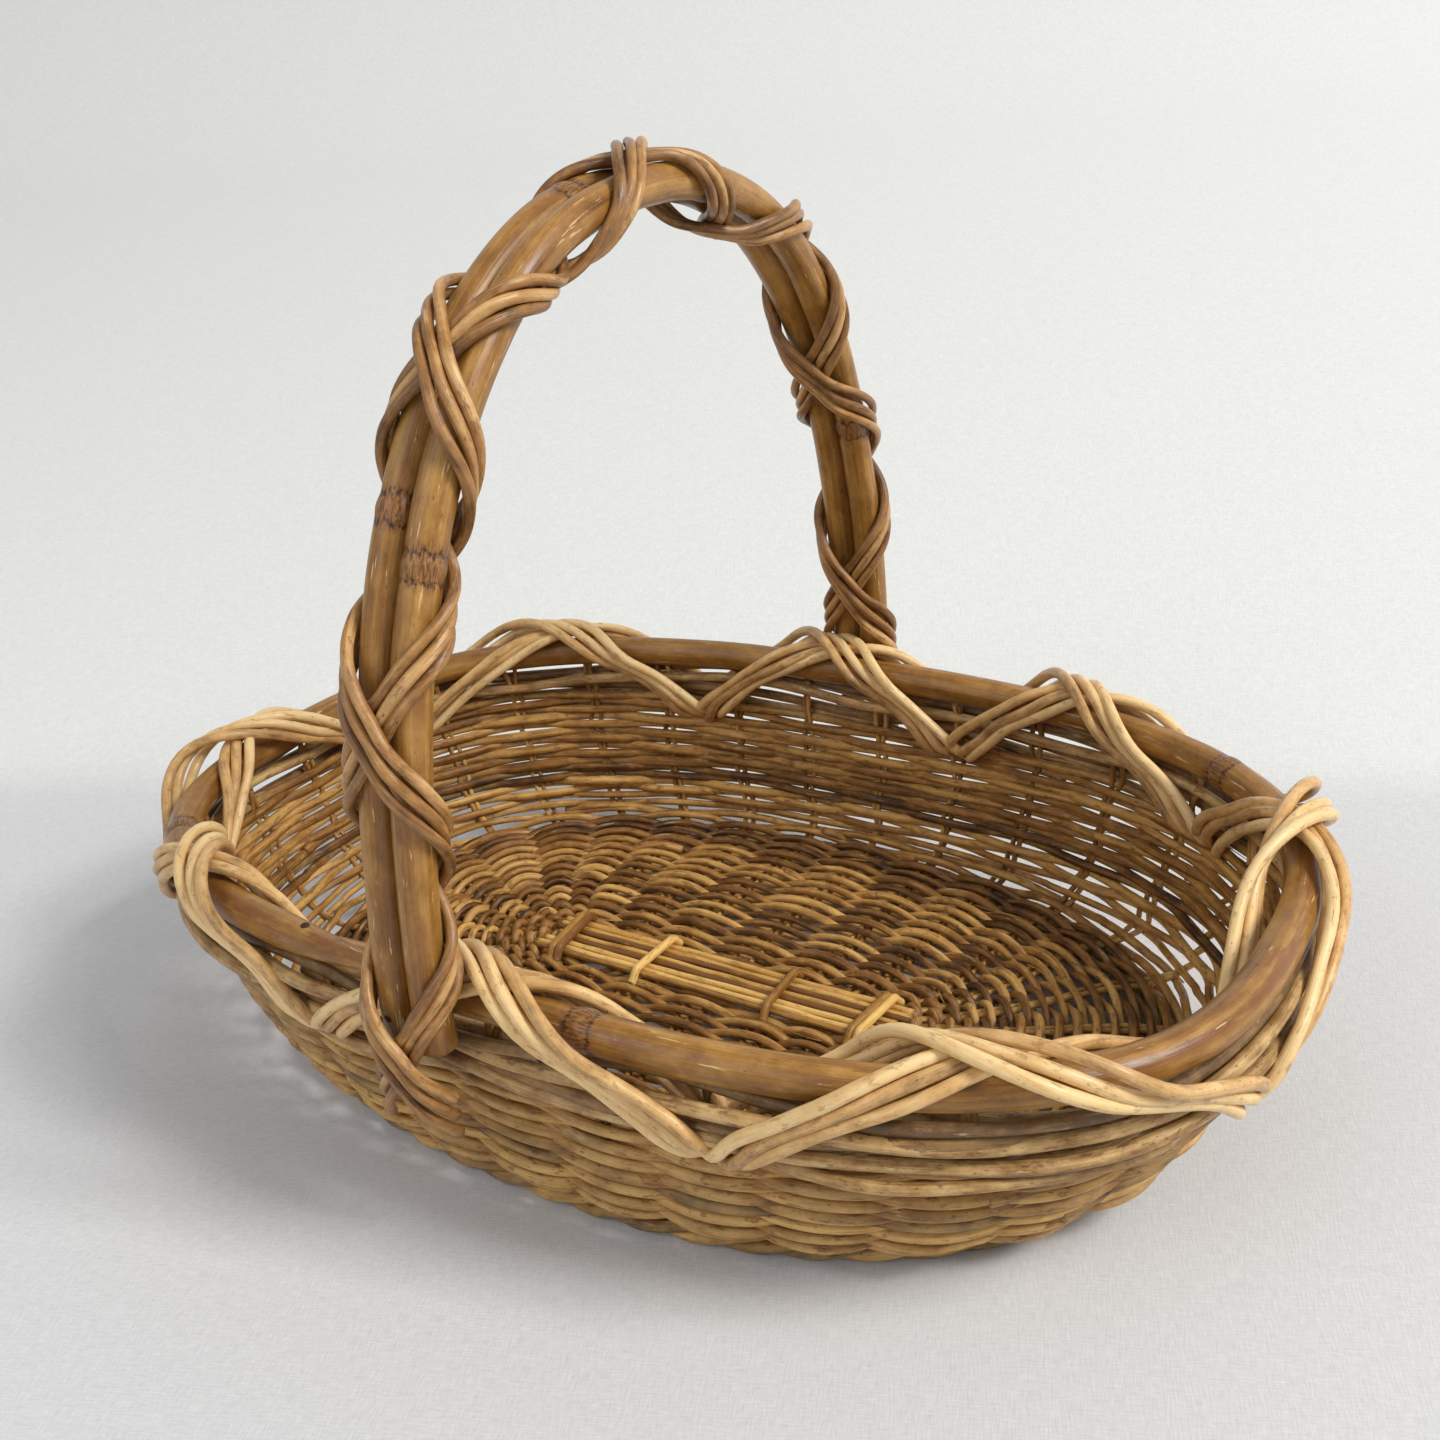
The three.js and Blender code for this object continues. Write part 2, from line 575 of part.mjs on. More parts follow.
function buildFoot() {
  const section = polygonSection(FOOT_CANE_RADIUS, FOOT_CANE_SIDES);
  const extra = FOOT_HALF_LENGTH - FOOT_HALF_WIDTH;
  for (const [index, name] of ['foot_cane_outer', 'foot_cane_inner'].entries()) {
    const halfWidth = FOOT_CANE_HALF_WIDTH - index * (2 * FOOT_CANE_RADIUS + GAP);
    const joint = FOOT_JOINT_ANGLE + index * Math.PI;
    const halfGap = GAP / halfWidth;
    const place = (t) => {
      const angle = joint + THREE.MathUtils.lerp(halfGap, 2 * Math.PI - halfGap, t);
      const plan = ovalPoint(angle, halfWidth + extra, halfWidth, FOOT_SQUARENESS);
      return new THREE.Vector3(plan.x, plan.y, FOOT_TOP / 2);
    };
    addPiece(name, 'weave', sweep(section, ringStops(BOWL_STEPS, place)));
  }
}

buildRim();
buildHandleAndHoop();
buildWeave();
buildStakes();
buildSpine();
buildFoot();

export default basket;
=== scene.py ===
import math

import bpy
import numpy as np
from mathutils import Matrix, Vector


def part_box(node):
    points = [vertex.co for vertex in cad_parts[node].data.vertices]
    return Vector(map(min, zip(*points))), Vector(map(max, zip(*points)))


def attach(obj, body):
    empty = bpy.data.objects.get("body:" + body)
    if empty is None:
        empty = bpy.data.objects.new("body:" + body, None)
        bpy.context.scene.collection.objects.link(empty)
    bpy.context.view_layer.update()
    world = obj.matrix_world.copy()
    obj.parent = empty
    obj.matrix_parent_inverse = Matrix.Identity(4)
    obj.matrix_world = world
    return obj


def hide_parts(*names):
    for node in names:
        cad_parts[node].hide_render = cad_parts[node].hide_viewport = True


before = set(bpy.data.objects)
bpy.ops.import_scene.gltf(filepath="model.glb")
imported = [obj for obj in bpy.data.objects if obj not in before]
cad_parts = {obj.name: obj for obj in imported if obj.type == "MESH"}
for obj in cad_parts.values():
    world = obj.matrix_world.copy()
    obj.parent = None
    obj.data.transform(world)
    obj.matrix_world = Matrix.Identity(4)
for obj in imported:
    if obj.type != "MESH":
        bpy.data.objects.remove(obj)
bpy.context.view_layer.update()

MM = 0.001

# ---- Radii and curve shapes, which the frame's boxes don't give -----------------------------
RIM_RADIUS = 7.6 * MM
CANE_RADIUS = 7.5 * MM
RIM_SQUARENESS = 2.66
FOOT_SQUARENESS = 2.3
RIM_END_DROP = 5.5 * MM
HANDLE_SQUARENESS = 2.32
HANDLE_LEAN = 0.028
FACET = 0.93  # how much of a cane's radius its faceted solid reaches on average
FLOOR_LEVEL = 10.7 * MM

# How many sides each kind of tube has
ROD_SIDES = 8
STAKE_SIDES = 6
WHISKER_SIDES = 5
STICK_SIDES = 10
STRAND_SIDES = 12
CANE_SIDES = 40
NAIL_SIDES = 20


def node_box(name):
    low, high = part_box(name)
    return np.array(low), np.array(high)


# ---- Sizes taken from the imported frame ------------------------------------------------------
RIM_LOW, RIM_HIGH = node_box("rim_hoop")
RIM_HALF = (RIM_HIGH - RIM_LOW)[:2] / 2 - RIM_RADIUS * FACET
RIM_HEIGHT = RIM_HIGH[2] - RIM_RADIUS * FACET
FOOT_LOW, FOOT_HIGH = node_box("foot_cane_outer")
FOOT_HALF = (FOOT_HIGH - FOOT_LOW)[:2] / 2 + 3 * MM
SPINE_LOW, SPINE_HIGH = node_box("spine_band")
LEFT_LOW, LEFT_HIGH = node_box("handle_cane_left")
RIGHT_HIGH = node_box("handle_cane_right")[1]
HANDLE_HALF_SPAN = (LEFT_HIGH - LEFT_LOW)[1] / 2 - CANE_RADIUS * FACET
HANDLE_FOOT = LEFT_LOW[2] + 6.5 * MM
HANDLE_TOP = LEFT_HIGH[2] - CANE_RADIUS * FACET

# Places round the rim are fractions of its length, from the +X end, anticlockwise from above.
RIM_CROSSINGS = [0.05, 0.16, 0.26, 0.38, 0.53, 0.63, 0.76, 0.89]
RIM_NODES = [0.10, 0.59, 0.79]
RIM_JOINT = 0.70
SCARF_HALF = 0.026
HANDLE_NODES = {"left": [0.264, 0.455], "right": [0.24, 0.55, 0.80]}
HANDLE_TURNS = 6
COLUMNS = 31  # pairs of stakes; odd, so that one continuous row alternates by itself


# ---- Repeatable variation -------------------------------------------------------------------
def wander(seed, position, scale, octaves=3):
    """Smooth values of about -1..1 along an array of positions."""
    rng = np.random.default_rng(seed)
    total = np.zeros_like(position, dtype=float)
    for octave in range(octaves):
        waves = rng.uniform(0.7, 1.3, 3) * 2 ** octave / scale
        phases = rng.uniform(0, 2 * np.pi, 3)
        for wave, phase in zip(waves, phases):
            total += np.sin(2 * np.pi * wave * position + phase) / (3 * 1.6 ** octave)
    return total


def unit(vectors):
    return vectors / np.maximum(np.linalg.norm(vectors, axis=-1, keepdims=True), 1e-12)


def smooth(low, high, value):
    t = np.clip((value - low) / (high - low), 0, 1)
    return t * t * (3 - 2 * t)


# ---- Tubes ----------------------------------------------------------------------------------
BEVEL_LENGTH = 0.25  # of the radius
BEVEL_NARROWING = 0.72
FIBRE_SPREAD = 400  # keeps each tube's pattern apart from the others'


class Strands:
    """Collects tubes and builds them as one mesh with the attributes that the materials read."""

    def __init__(self):
        self.verts = []
        self.faces = []
        self.count = 0
        self.data = {key: [] for key in ("fibre", "tone", "outer", "end", "along", "angle")}

    def tube(self, path, reference, radius, sides, seed, outer=0.0):
        """One closed tube along a path; `reference` is the direction of its first side."""
        tangent = unit(np.gradient(path, axis=0))
        normal = unit(reference - (reference * tangent).sum(1, keepdims=True) * tangent)
        across = np.cross(tangent, normal)
        radius = np.broadcast_to(np.asarray(radius, float), (len(path),)).copy()
        outer = np.broadcast_to(np.asarray(outer, float), (len(path),))
        steps = np.linalg.norm(np.diff(path, axis=0), axis=1)
        along = np.concatenate([[0], np.cumsum(steps)])
        shift = BEVEL_LENGTH * radius[0]
        path, normal, across, radius, outer = (
            np.concatenate([row[:1], row, row[-1:]]) for row in (path, normal, across, radius, outer))
        radius[[0, -1]] *= BEVEL_NARROWING
        path[0] -= tangent[0] * shift
        path[-1] += tangent[-1] * shift
        along = np.concatenate([[-shift], along, [along[-1] + shift]])
        angle = np.linspace(-np.pi, np.pi, sides, endpoint=False)
        ring = np.cos(angle)[None, :, None] * normal[:, None, :]
        ring = ring + np.sin(angle)[None, :, None] * across[:, None, :]
        self.skin(path[:, None, :] + radius[:, None, None] * ring)
        self.describe(radius, along, angle, outer, seed)

    def skin(self, points):
        """Joins rings of points, shaped (rings, sides, 3), into a closed tube."""
        count, sides = points.shape[:2]
        base = self.count
        self.verts.append(points.reshape(-1, 3))
        i = np.arange(count - 1)[:, None] * sides
        j = np.arange(sides)[None, :]
        k = (j + 1) % sides
        self.faces.append(np.stack([i + j, i + k, i + sides + k, i + sides + j], -1).reshape(-1, 4) + base)
        self.caps(base, count, sides)
        self.count += count * sides

    def describe(self, radius, along, angle, outer, seed):
        """Stores what the materials read at each point; `fibre` runs along the cane, in millimetres."""
        rng = np.random.default_rng(seed)
        offset = rng.uniform(0, FIBRE_SPREAD, 3)
        whole = (len(radius), len(angle))
        fibre = np.empty(whole + (3,))
        fibre[..., 0] = np.cos(angle)[None, :] * radius[:, None] * 1000 + offset[0]
        fibre[..., 1] = np.sin(angle)[None, :] * radius[:, None] * 1000 + offset[1]
        fibre[..., 2] = along[:, None] * 1000 + offset[2]
        spare = np.minimum(along - along[0], along[-1] - along) * 1000
        self.data["fibre"].append(fibre.reshape(-1, 3))
        self.data["tone"].append(np.full(whole[0] * whole[1], rng.uniform()))
        self.data["outer"].append(np.broadcast_to(outer[:, None], whole).ravel())
        self.data["end"].append(np.broadcast_to(spare[:, None], whole).ravel())
        self.data["along"].append(np.broadcast_to(along[:, None] * 1000, whole).ravel())
        self.data["angle"].append(np.broadcast_to(angle[None, :], whole).ravel())

    def caps(self, base, count, sides):
        """Closes both ends with quads across the ring; with an odd ring one triangle stays open."""
        for start, flip in ((base, True), (base + (count - 1) * sides, False)):
            low, high = 0, sides - 1
            while high - low >= 3:
                quad = [start + low, start + low + 1, start + high - 1, start + high]
                self.faces.append(np.array([quad[::-1] if flip else quad]))
                low, high = low + 1, high - 1

    def build(self, name, material, slot, replaced):
        verts = np.concatenate(self.verts)
        faces = np.concatenate(self.faces).astype(np.int32)
        mesh = bpy.data.meshes.new(name)
        mesh.vertices.add(len(verts))
        mesh.vertices.foreach_set("co", verts.astype(np.float32).ravel())
        mesh.loops.add(faces.size)
        mesh.loops.foreach_set("vertex_index", faces.ravel())
        mesh.polygons.add(len(faces))
        mesh.polygons.foreach_set("loop_start", np.arange(len(faces), dtype=np.int32) * 4)
        mesh.polygons.foreach_set("use_smooth", np.ones(len(faces), dtype=bool))
        for key, values in self.data.items():
            kind = "FLOAT_VECTOR" if key == "fibre" else "FLOAT"
            layer = mesh.attributes.new(key, kind, "POINT")
            flat = np.concatenate(values).astype(np.float32).ravel()
            layer.data.foreach_set("vector" if key == "fibre" else "value", flat)
        mesh.update(calc_edges=True)
        mesh.validate()
        mesh.materials.append(material)
        piece = bpy.data.objects.new(name, mesh)
        bpy.context.scene.collection.objects.link(piece)
        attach(piece, "root")
        if replaced:
            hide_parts(*replaced)
        return piece


# ---- The oval plan --------------------------------------------------------------------------
def oval(angle, half_length, half_width, squareness):
    across = np.abs(np.cos(angle) / half_length) ** squareness
    upright = np.abs(np.sin(angle) / half_width) ** squareness
    radius = (across + upright) ** (-1 / squareness)
    return np.stack([radius * np.cos(angle), radius * np.sin(angle)], -1)


def ring_table(half_length, half_width, squareness, count=720):
    """The ring's points and how far round each one is, as a fraction of its length."""
    points = oval(np.linspace(0, 2 * np.pi, count + 1), half_length, half_width, squareness)
    travel = np.concatenate([[0], np.cumsum(np.linalg.norm(np.diff(points, axis=0), axis=1))])
    return points, travel / travel[-1], travel[-1]


RIM_POINTS, RIM_TRAVEL, RIM_LENGTH = ring_table(*RIM_HALF, RIM_SQUARENESS)


def beside_rim(fraction, out, up):
    """Points beside the hoop's centre line, with the horizontal outward direction there."""
    around = np.mod(fraction, 1)
    x = np.interp(around, RIM_TRAVEL, RIM_POINTS[:, 0])
    y = np.interp(around, RIM_TRAVEL, RIM_POINTS[:, 1])
    slope = np.gradient(RIM_POINTS, axis=0)
    slope[0] = slope[-1] = RIM_POINTS[1] - RIM_POINTS[-2]
    tx = np.interp(around, RIM_TRAVEL, slope[:, 0])
    ty = np.interp(around, RIM_TRAVEL, slope[:, 1])
    outward = unit(np.stack([ty, -tx, tx * 0], -1))
    z = RIM_HEIGHT - RIM_END_DROP * (x / RIM_HALF[0]) ** 2 + up
    return np.stack([x, y, z], -1) + outward * np.asarray(out)[..., None], outward


# ---- The bowl's middle surface --------------------------------------------------------------
CORNER = 16 * MM
WALL_CURVE = 0.85
SPINE_EXTRA = 84 * MM
FOOT_EXTRA = FOOT_HALF[0] - FOOT_HALF[1]
RIM_EXTRA = RIM_HALF[0] - RIM_HALF[1]
FIRST_REACH = (SPINE_HIGH[1] - SPINE_LOW[1]) / 2 + 2.0 * MM
UNDER_SPINE = 14 * MM  # how far the stakes run in under the spine band
RING_STEP = 1.5 * MM  # points this close in reach share one ring


def flare(height):
    return np.sin(np.clip(height / RIM_HEIGHT, 0, 1) * np.pi / 2) ** WALL_CURVE


def wall_reach(height):
    return FOOT_HALF[1] + (RIM_HALF[1] - FOOT_HALF[1]) * flare(height)


def profile_table():
    """Climb, reach, height and outward normal up the bowl's middle, from the spine to the rim."""
    corner_top = FLOOR_LEVEL + CORNER
    turn = np.linspace(0, np.pi / 2, 24)
    reach = wall_reach(corner_top) - CORNER + CORNER * np.sin(turn)
    height = corner_top - CORNER * np.cos(turn)
    wall = np.linspace(corner_top, RIM_HEIGHT, 60)[1:]
    reach = np.concatenate([[FIRST_REACH - UNDER_SPINE], reach, wall_reach(wall)])
    height = np.concatenate([[FLOOR_LEVEL], height, wall])
    climb = np.concatenate([[0], np.cumsum(np.hypot(np.diff(reach), np.diff(height)))]) - UNDER_SPINE
    even = np.linspace(climb[0], climb[-1], 400)
    reach, height = np.interp(even, climb, reach), np.interp(even, climb, height)
    slope = unit(np.stack([np.gradient(reach), np.gradient(height)], -1))
    return even, reach, height, slope[:, 1], -slope[:, 0]


PROFILE = profile_table()


def profile(q):
    """Reach, height and outward normal after climbing q from the spine, over floor and wall."""
    return [np.interp(q, PROFILE[0], column) for column in PROFILE[1:]]


def climb_to(height):
    """How far up the profile a height on the wall is."""
    return float(np.interp(height, PROFILE[2] + np.arange(400) * 1e-9, PROFILE[0]))


TIE_PLACES = [float(np.mean([corner[0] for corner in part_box(f"spine_tie_{i}")])) for i in (1, 2, 3, 4)]
SPINE_COLUMNS = sorted(TIE_PLACES + [(a + b) / 2 for a, b in zip(TIE_PLACES, TIE_PLACES[1:])])


def column_fractions(reach):
    """Where each column of stakes crosses the ring at `reach`, as fractions of its length."""
    straight = 4 * SPINE_EXTRA
    whole = straight + 2 * np.pi * FIRST_REACH
    quarter = np.pi / 2 * FIRST_REACH
    far = [(quarter + SPINE_EXTRA - x) / whole for x in SPINE_COLUMNS[::-1]]
    near = [(3 * quarter + 3 * SPINE_EXTRA + x) / whole for x in SPINE_COLUMNS]
    right = [k / 9 * quarter / whole for k in (1.5, 3.5, 5.5, 7.5)]
    left = [0.5 + k / 9.5 * quarter / whole for k in (-7.6, -5.7, -3.8, -1.9, 0, 1.9, 3.8, 5.7, 7.6)]
    inner = np.array(sorted(right + far + left + near + [1 - f for f in right]))
    outer = (np.arange(COLUMNS) + 0.5) / COLUMNS
    share = smooth(0, 1, (reach - FIRST_REACH) / (FOOT_HALF[1] - FIRST_REACH)) ** 0.6
    return inner * (1 - share) + outer * share


def ring_at(reach, height, out):
    """The oval ring at one reach and height of the bowl; `out` is how upright the surface is."""
    grown = flare(height)
    share = np.clip((reach - FIRST_REACH) / (FOOT_HALF[1] - FIRST_REACH), 0, 1)
    floor_extra = SPINE_EXTRA + (FOOT_EXTRA - SPINE_EXTRA) * share
    extra = floor_extra + (RIM_EXTRA - FOOT_EXTRA) * grown * smooth(0, 1, out)
    squareness = FOOT_SQUARENESS + (RIM_SQUARENESS - FOOT_SQUARENESS) * grown
    squareness += (1 - share) * 0.7
    return ring_table(reach + extra, reach, squareness)[:2]


def column_places(reach, phase):
    """Fractions round the ring for column phases, between the columns' own places."""
    fractions = column_fractions(reach)
    wrapped = np.concatenate([[fractions[-1] - 1], fractions, [fractions[0] + 1]])
    return np.mod(np.interp(np.mod(phase, COLUMNS), np.arange(-1, COLUMNS + 1), wrapped), 1)


def bowl_points(q, phase, offset):
    """Points at climb q and column phase, moved `offset` along the surface's outward normal."""
    reach, height, out, up = profile(q)
    step = np.round(reach / RING_STEP).astype(int)
    points = np.empty((len(q), 3))
    normals = np.empty((len(q), 3))
    for key in np.unique(step):
        pick = step == key
        mean = reach[pick].mean()
        table, travel = ring_at(mean, height[pick].mean(), out[pick].mean())
        around = column_places(mean, phase[pick])
        x, y = (np.interp(around, travel, table[:, i]) for i in (0, 1))
        slope = np.gradient(table, axis=0)
        slope[0] = slope[-1] = table[1] - table[-2]
        tx, ty = (np.interp(around, travel, slope[:, i]) for i in (0, 1))
        outward = unit(np.stack([ty, -tx], -1))
        flat = np.stack([x, y], -1) + outward * (reach[pick] - mean)[:, None]
        points[pick] = np.concatenate([flat, height[pick][:, None]], -1)
        normals[pick, :2] = outward * out[pick][:, None]
        normals[pick, 2] = up[pick]
    normals = unit(normals)
    return points + normals * np.asarray(offset)[:, None], normals


# ---- Weave ----------------------------------------------------------------------------------
ROD_RADIUS = 2.1 * MM
STAKE_RADIUS = 1.45 * MM
WEAVE_TOP = 80 * MM
FLOOR_PITCH = 4.35 * MM
WALL_PITCH = 3.95 * MM
WALL_START = climb_to(FLOOR_LEVEL + 0.4 * CORNER)


def row_climb(turns):
    """How far up the profile the continuous row has climbed after so many turns."""
    floor_turns = WALL_START / FLOOR_PITCH
    return np.minimum(turns, floor_turns) * FLOOR_PITCH + np.maximum(turns - floor_turns, 0) * WALL_PITCH


def weave_drift(q, around):
    """Neighbouring rows wander together, which opens and closes the gaps between them."""
    wall = smooth(WALL_START, WALL_START + 60 * MM, q)
    level = q / (26 * MM)
    slow = np.sin(2 * np.pi * 2 * around + 2.1 * level)
    quick = np.sin(2 * np.pi * 5 * around - 1.3 * level)
    return (0.4 + 0.6 * wall) * MM * (slow + 0.8 * quick)


def weave_rod(rng, index, start, stop):
    """One rod of the row, from phase to phase: its points, normals, thickness and swing."""
    phase = np.linspace(start, stop, int((stop - start) * 10) + 1)
    near_start = 1 - smooth(0, 1.6, phase - start)
    near_stop = 1 - smooth(0, 1.6, stop - phase)
    q = row_climb(phase / COLUMNS)
    q = q + weave_drift(q, np.mod(phase / COLUMNS, 1)) + 1.3 * MM * (near_stop - near_start)
    q = q + 0.5 * MM * wander(300 + index, phase, 6)
    wave = np.cos(np.pi * phase)
    swing = np.sign(wave) * np.abs(wave) ** 0.8
    upright = smooth(WALL_START, WALL_START + 25 * MM, q)
    poke = 4.0 * MM * rng.uniform(0, 1) ** 2
    clear = smooth(-4 * MM, 3 * MM, q)
    depth = (ROD_RADIUS + STAKE_RADIUS) * swing * (1 - 0.36 * upright) * (0.3 + 0.7 * clear)
    depth = depth + 1.5 * MM * (1 - clear)
    depth = depth - poke * near_stop * (wave < 0.2)
    thickness = rng.uniform(0.84, 1.1) * (1 + 0.07 * wander(500 + index, phase, 9))
    thickness = thickness * (1 + 0.28 * upright)
    points, normals = bowl_points(np.maximum(q, 1 * MM - UNDER_SPINE), phase, depth)
    return points, normals, thickness, swing


def make_weave():
    """One continuous row, out over the floor and up the wall, as the floor's rods and the wall's."""
    floor_rods, wall_rods = Strands(), Strands()
    floor_turns = WALL_START / FLOOR_PITCH
    last = (floor_turns + (climb_to(WEAVE_TOP) - WALL_START) / WALL_PITCH) * COLUMNS
    rng = np.random.default_rng(11)
    start, index = -1.3 * COLUMNS, 0  # the first turns lie under the edges of the spine band
    while start < last:
        stop = min(start + rng.uniform(18, 52), last)
        points, normals, thickness, swing = weave_rod(rng, index, start, stop)
        rods = floor_rods if start < floor_turns * COLUMNS else wall_rods
        rods.tube(points, normals, ROD_RADIUS * thickness, ROD_SIDES, 1000 + index, outer=swing)
        start = stop - 1.5 if stop < last else last
        index += 1
    return floor_rods, wall_rods


def make_stakes():
    """Two thin sticks side by side in each column, from under the spine band to the hoop."""
    stakes = Strands()
    top = climb_to(RIM_HEIGHT - 9 * MM)
    for column in range(COLUMNS):
        for side in (-1, 1):
            seed = 2000 + 2 * column + side
            rng = np.random.default_rng(seed)
            q = np.linspace(2 * MM - UNDER_SPINE, top, 96)
            reach, height = profile(q)[:2]
            spacing = 2 * np.pi * (reach + 60 * MM) / COLUMNS
            shift = side * (1.75 * MM + 0.25 * MM * rng.uniform(-1, 1)) / spacing
            drift = 0.05 * wander(seed, q, 0.08)
            lean = smooth(WEAVE_TOP - 10 * MM, RIM_HEIGHT, height)
            under = 1.2 * MM * (1 - smooth(-2 * MM, 8 * MM, q))
            points, normals = bowl_points(q, column + shift + drift, under - 1.6 * MM * lean)
            stakes.tube(points, normals, STAKE_RADIUS * rng.uniform(0.88, 1.05), STAKE_SIDES, seed)
    return stakes


WHISKERS = 90


def make_whiskers():
    """Frayed fibres and slivers that stand out of the weave."""
    whiskers = Strands()
    rng = np.random.default_rng(77)
    for index in range(WHISKERS):
        q = rng.uniform(0.02, 1.0) * climb_to(WEAVE_TOP)
        side = rng.choice([-1, 1])
        phase = rng.uniform(0, COLUMNS)
        length = rng.uniform(7, 20) * MM
        step = np.linspace(0, 1, 9)
        reach = profile(q)[0] + 70 * MM
        turned = phase + rng.choice([-1, 1]) * step * length * COLUMNS / (2 * np.pi * reach)
        lift = (2.5 + rng.uniform(1, 5) * step ** 1.7) * MM * side
        points, normals = bowl_points(q + rng.uniform(-3, 3) * MM * step ** 2, turned, lift)
        thin = rng.uniform(0.3, 0.6) * MM * (1 - 0.6 * step)
        whiskers.tube(points, normals, thin, WHISKER_SIDES, 8000 + index, outer=0.4)
    return whiskers


# ---- Wales and foot -------------------------------------------------------------------------
# Each wale's height above the hoop's middle, distance out from it, and radius, in millimetres
WALES = [(-11.0, 3.8, 2.7), (-16.8, 6.4, 2.9), (-22.6, 4.2, 2.6), (-27.6, 6.0, 2.8),
         (-32.4, 4.0, 2.4), (-14.5, -4.4, 2.6)]
CAD_WALES = len([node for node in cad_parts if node.startswith("wale_")])


def make_wales(look):
    """Thick rods laid loosely round outside the stakes under the hoop, and one inside."""
    for index, (up, out, radius) in enumerate(WALES):
        fraction = 0.13 + 0.31 * index + np.linspace(0, 1.05, 560)
        ends = smooth(0.0, 0.03, fraction - fraction[0]) * smooth(0.0, 0.03, fraction[-1] - fraction)
        sag = 5.2 * wander(140 + index, fraction, 0.19, 2) + 4.0 * (ends - 1)
        bulge = 2.6 * wander(160 + index, fraction, 0.14, 2)
        path, outward = beside_rim(fraction, (out + bulge) * MM, (up + sag) * MM)
        thick = radius * MM * (1 + 0.07 * wander(80 + index, fraction, 0.1))
        wale = Strands()
        wale.tube(path, outward, thick, STRAND_SIDES, 3000 + index, outer=0.8)
        replaced = [f"wale_{index + 1}"] if index < CAD_WALES else []
        wale.build(f"wale_rod_{index + 1}", look, "weave_cane", replaced)


FOOT_STRANDS = 3
FOOT_TWISTS = 17
FOOT_STRAND_RADIUS = 2.55 * MM
FOOT_TWIST_RADIUS = 2.7 * MM
FOOT_HEIGHT = 5.4 * MM


def make_foot():
    """Three canes twisted together round the bottom edge."""
    foot = Strands()
    table, travel, _ = ring_table(FOOT_HALF[0] - 1 * MM, FOOT_HALF[1] - 1 * MM, FOOT_SQUARENESS)
    fraction = np.linspace(0, 1.01, 460)
    around = np.mod(fraction, 1)
    x, y = (np.interp(around, travel, table[:, i]) for i in (0, 1))
    slope = np.gradient(table, axis=0)
    tx, ty = (np.interp(around, travel, slope[:, i]) for i in (0, 1))
    outward = unit(np.stack([ty, -tx], -1))
    outward = np.concatenate([outward, np.zeros((len(x), 1))], -1)
    centre = np.stack([x, y, x * 0 + FOOT_HEIGHT], -1)
    for index in range(FOOT_STRANDS):
        twist = 2 * np.pi * (fraction * FOOT_TWISTS + index / FOOT_STRANDS)
        path = centre + outward * (FOOT_TWIST_RADIUS * np.cos(twist))[:, None]
        path[:, 2] += FOOT_TWIST_RADIUS * np.sin(twist)
        foot.tube(path, outward, FOOT_STRAND_RADIUS, STICK_SIDES, 3100 + index, outer=0.7)
    return foot


# ---- Spine ----------------------------------------------------------------------------------
SPINE_STICKS = 8
TIE_RADIUS = 2.1 * MM


def make_spine():
    """Sticks laid side by side down the middle of the floor."""
    spine = Strands()
    width = SPINE_HIGH[1] - SPINE_LOW[1]
    middle = (SPINE_LOW[2] + SPINE_HIGH[2]) / 2
    for index in range(SPINE_STICKS):
        rng = np.random.default_rng(50 + index)
        half = (SPINE_HIGH[0] - SPINE_LOW[0]) / 2 * rng.uniform(0.96, 1.03)
        x = np.linspace(-half, half, 60)
        y = SPINE_LOW[1] + width * (index + 0.5) / SPINE_STICKS + 0.35 * MM * wander(90 + index, x, 0.12)
        z = middle + (0.5 + rng.uniform(-0.6, 0.6)) * MM + 0.4 * MM * wander(110 + index, x, 0.1)
        path = np.stack([x, y, z], -1)
        up = np.tile([0.0, 0.0, 1.0], (len(x), 1))
        radius = width / SPINE_STICKS / 2 * rng.uniform(0.8, 0.92)
        spine.tube(path, up, radius, STICK_SIDES, 3200 + index)
    return spine


def make_ties():
    """Sticks across the spine band, doubled at its two ends."""
    ties = Strands()
    for index in range(4):
        low, high = node_box(f"spine_tie_{index + 1}")
        middle, half = (low + high) / 2, (high[1] - low[1]) / 2 + 3 * MM
        outermost = index in (0, 3)
        for side in ((-1, 1) if outermost else (0,)):
            y = np.linspace(-half, half, 40)
            dip = 5.5 * MM * smooth(half - 6 * MM, half, np.abs(y))
            lean = 0.1 if outermost else 0.05
            x = middle[0] + side * 1.9 * MM + lean * y * (1 if index % 2 else -1)
            path = np.stack([x, y, middle[2] + 0.4 * MM - dip], -1)
            up = np.tile([0.0, 0.0, 1.0], (len(y), 1))
            ties.tube(path, up, TIE_RADIUS, STICK_SIDES, 3300 + 2 * index + side)
    return ties


# ---- Binding --------------------------------------------------------------------------------
STRAND_RADIUS = 2.6 * MM
HANDLE_STRAND_RADIUS = 2.2 * MM
BUNDLE_STRANDS = 3
LOOP_DROP = 12.5 * MM  # half the distance that a rim loop reaches down past the hoop
HANDLE_FAN = 7.6  # in millimetres
LOOP_STEPS = 64


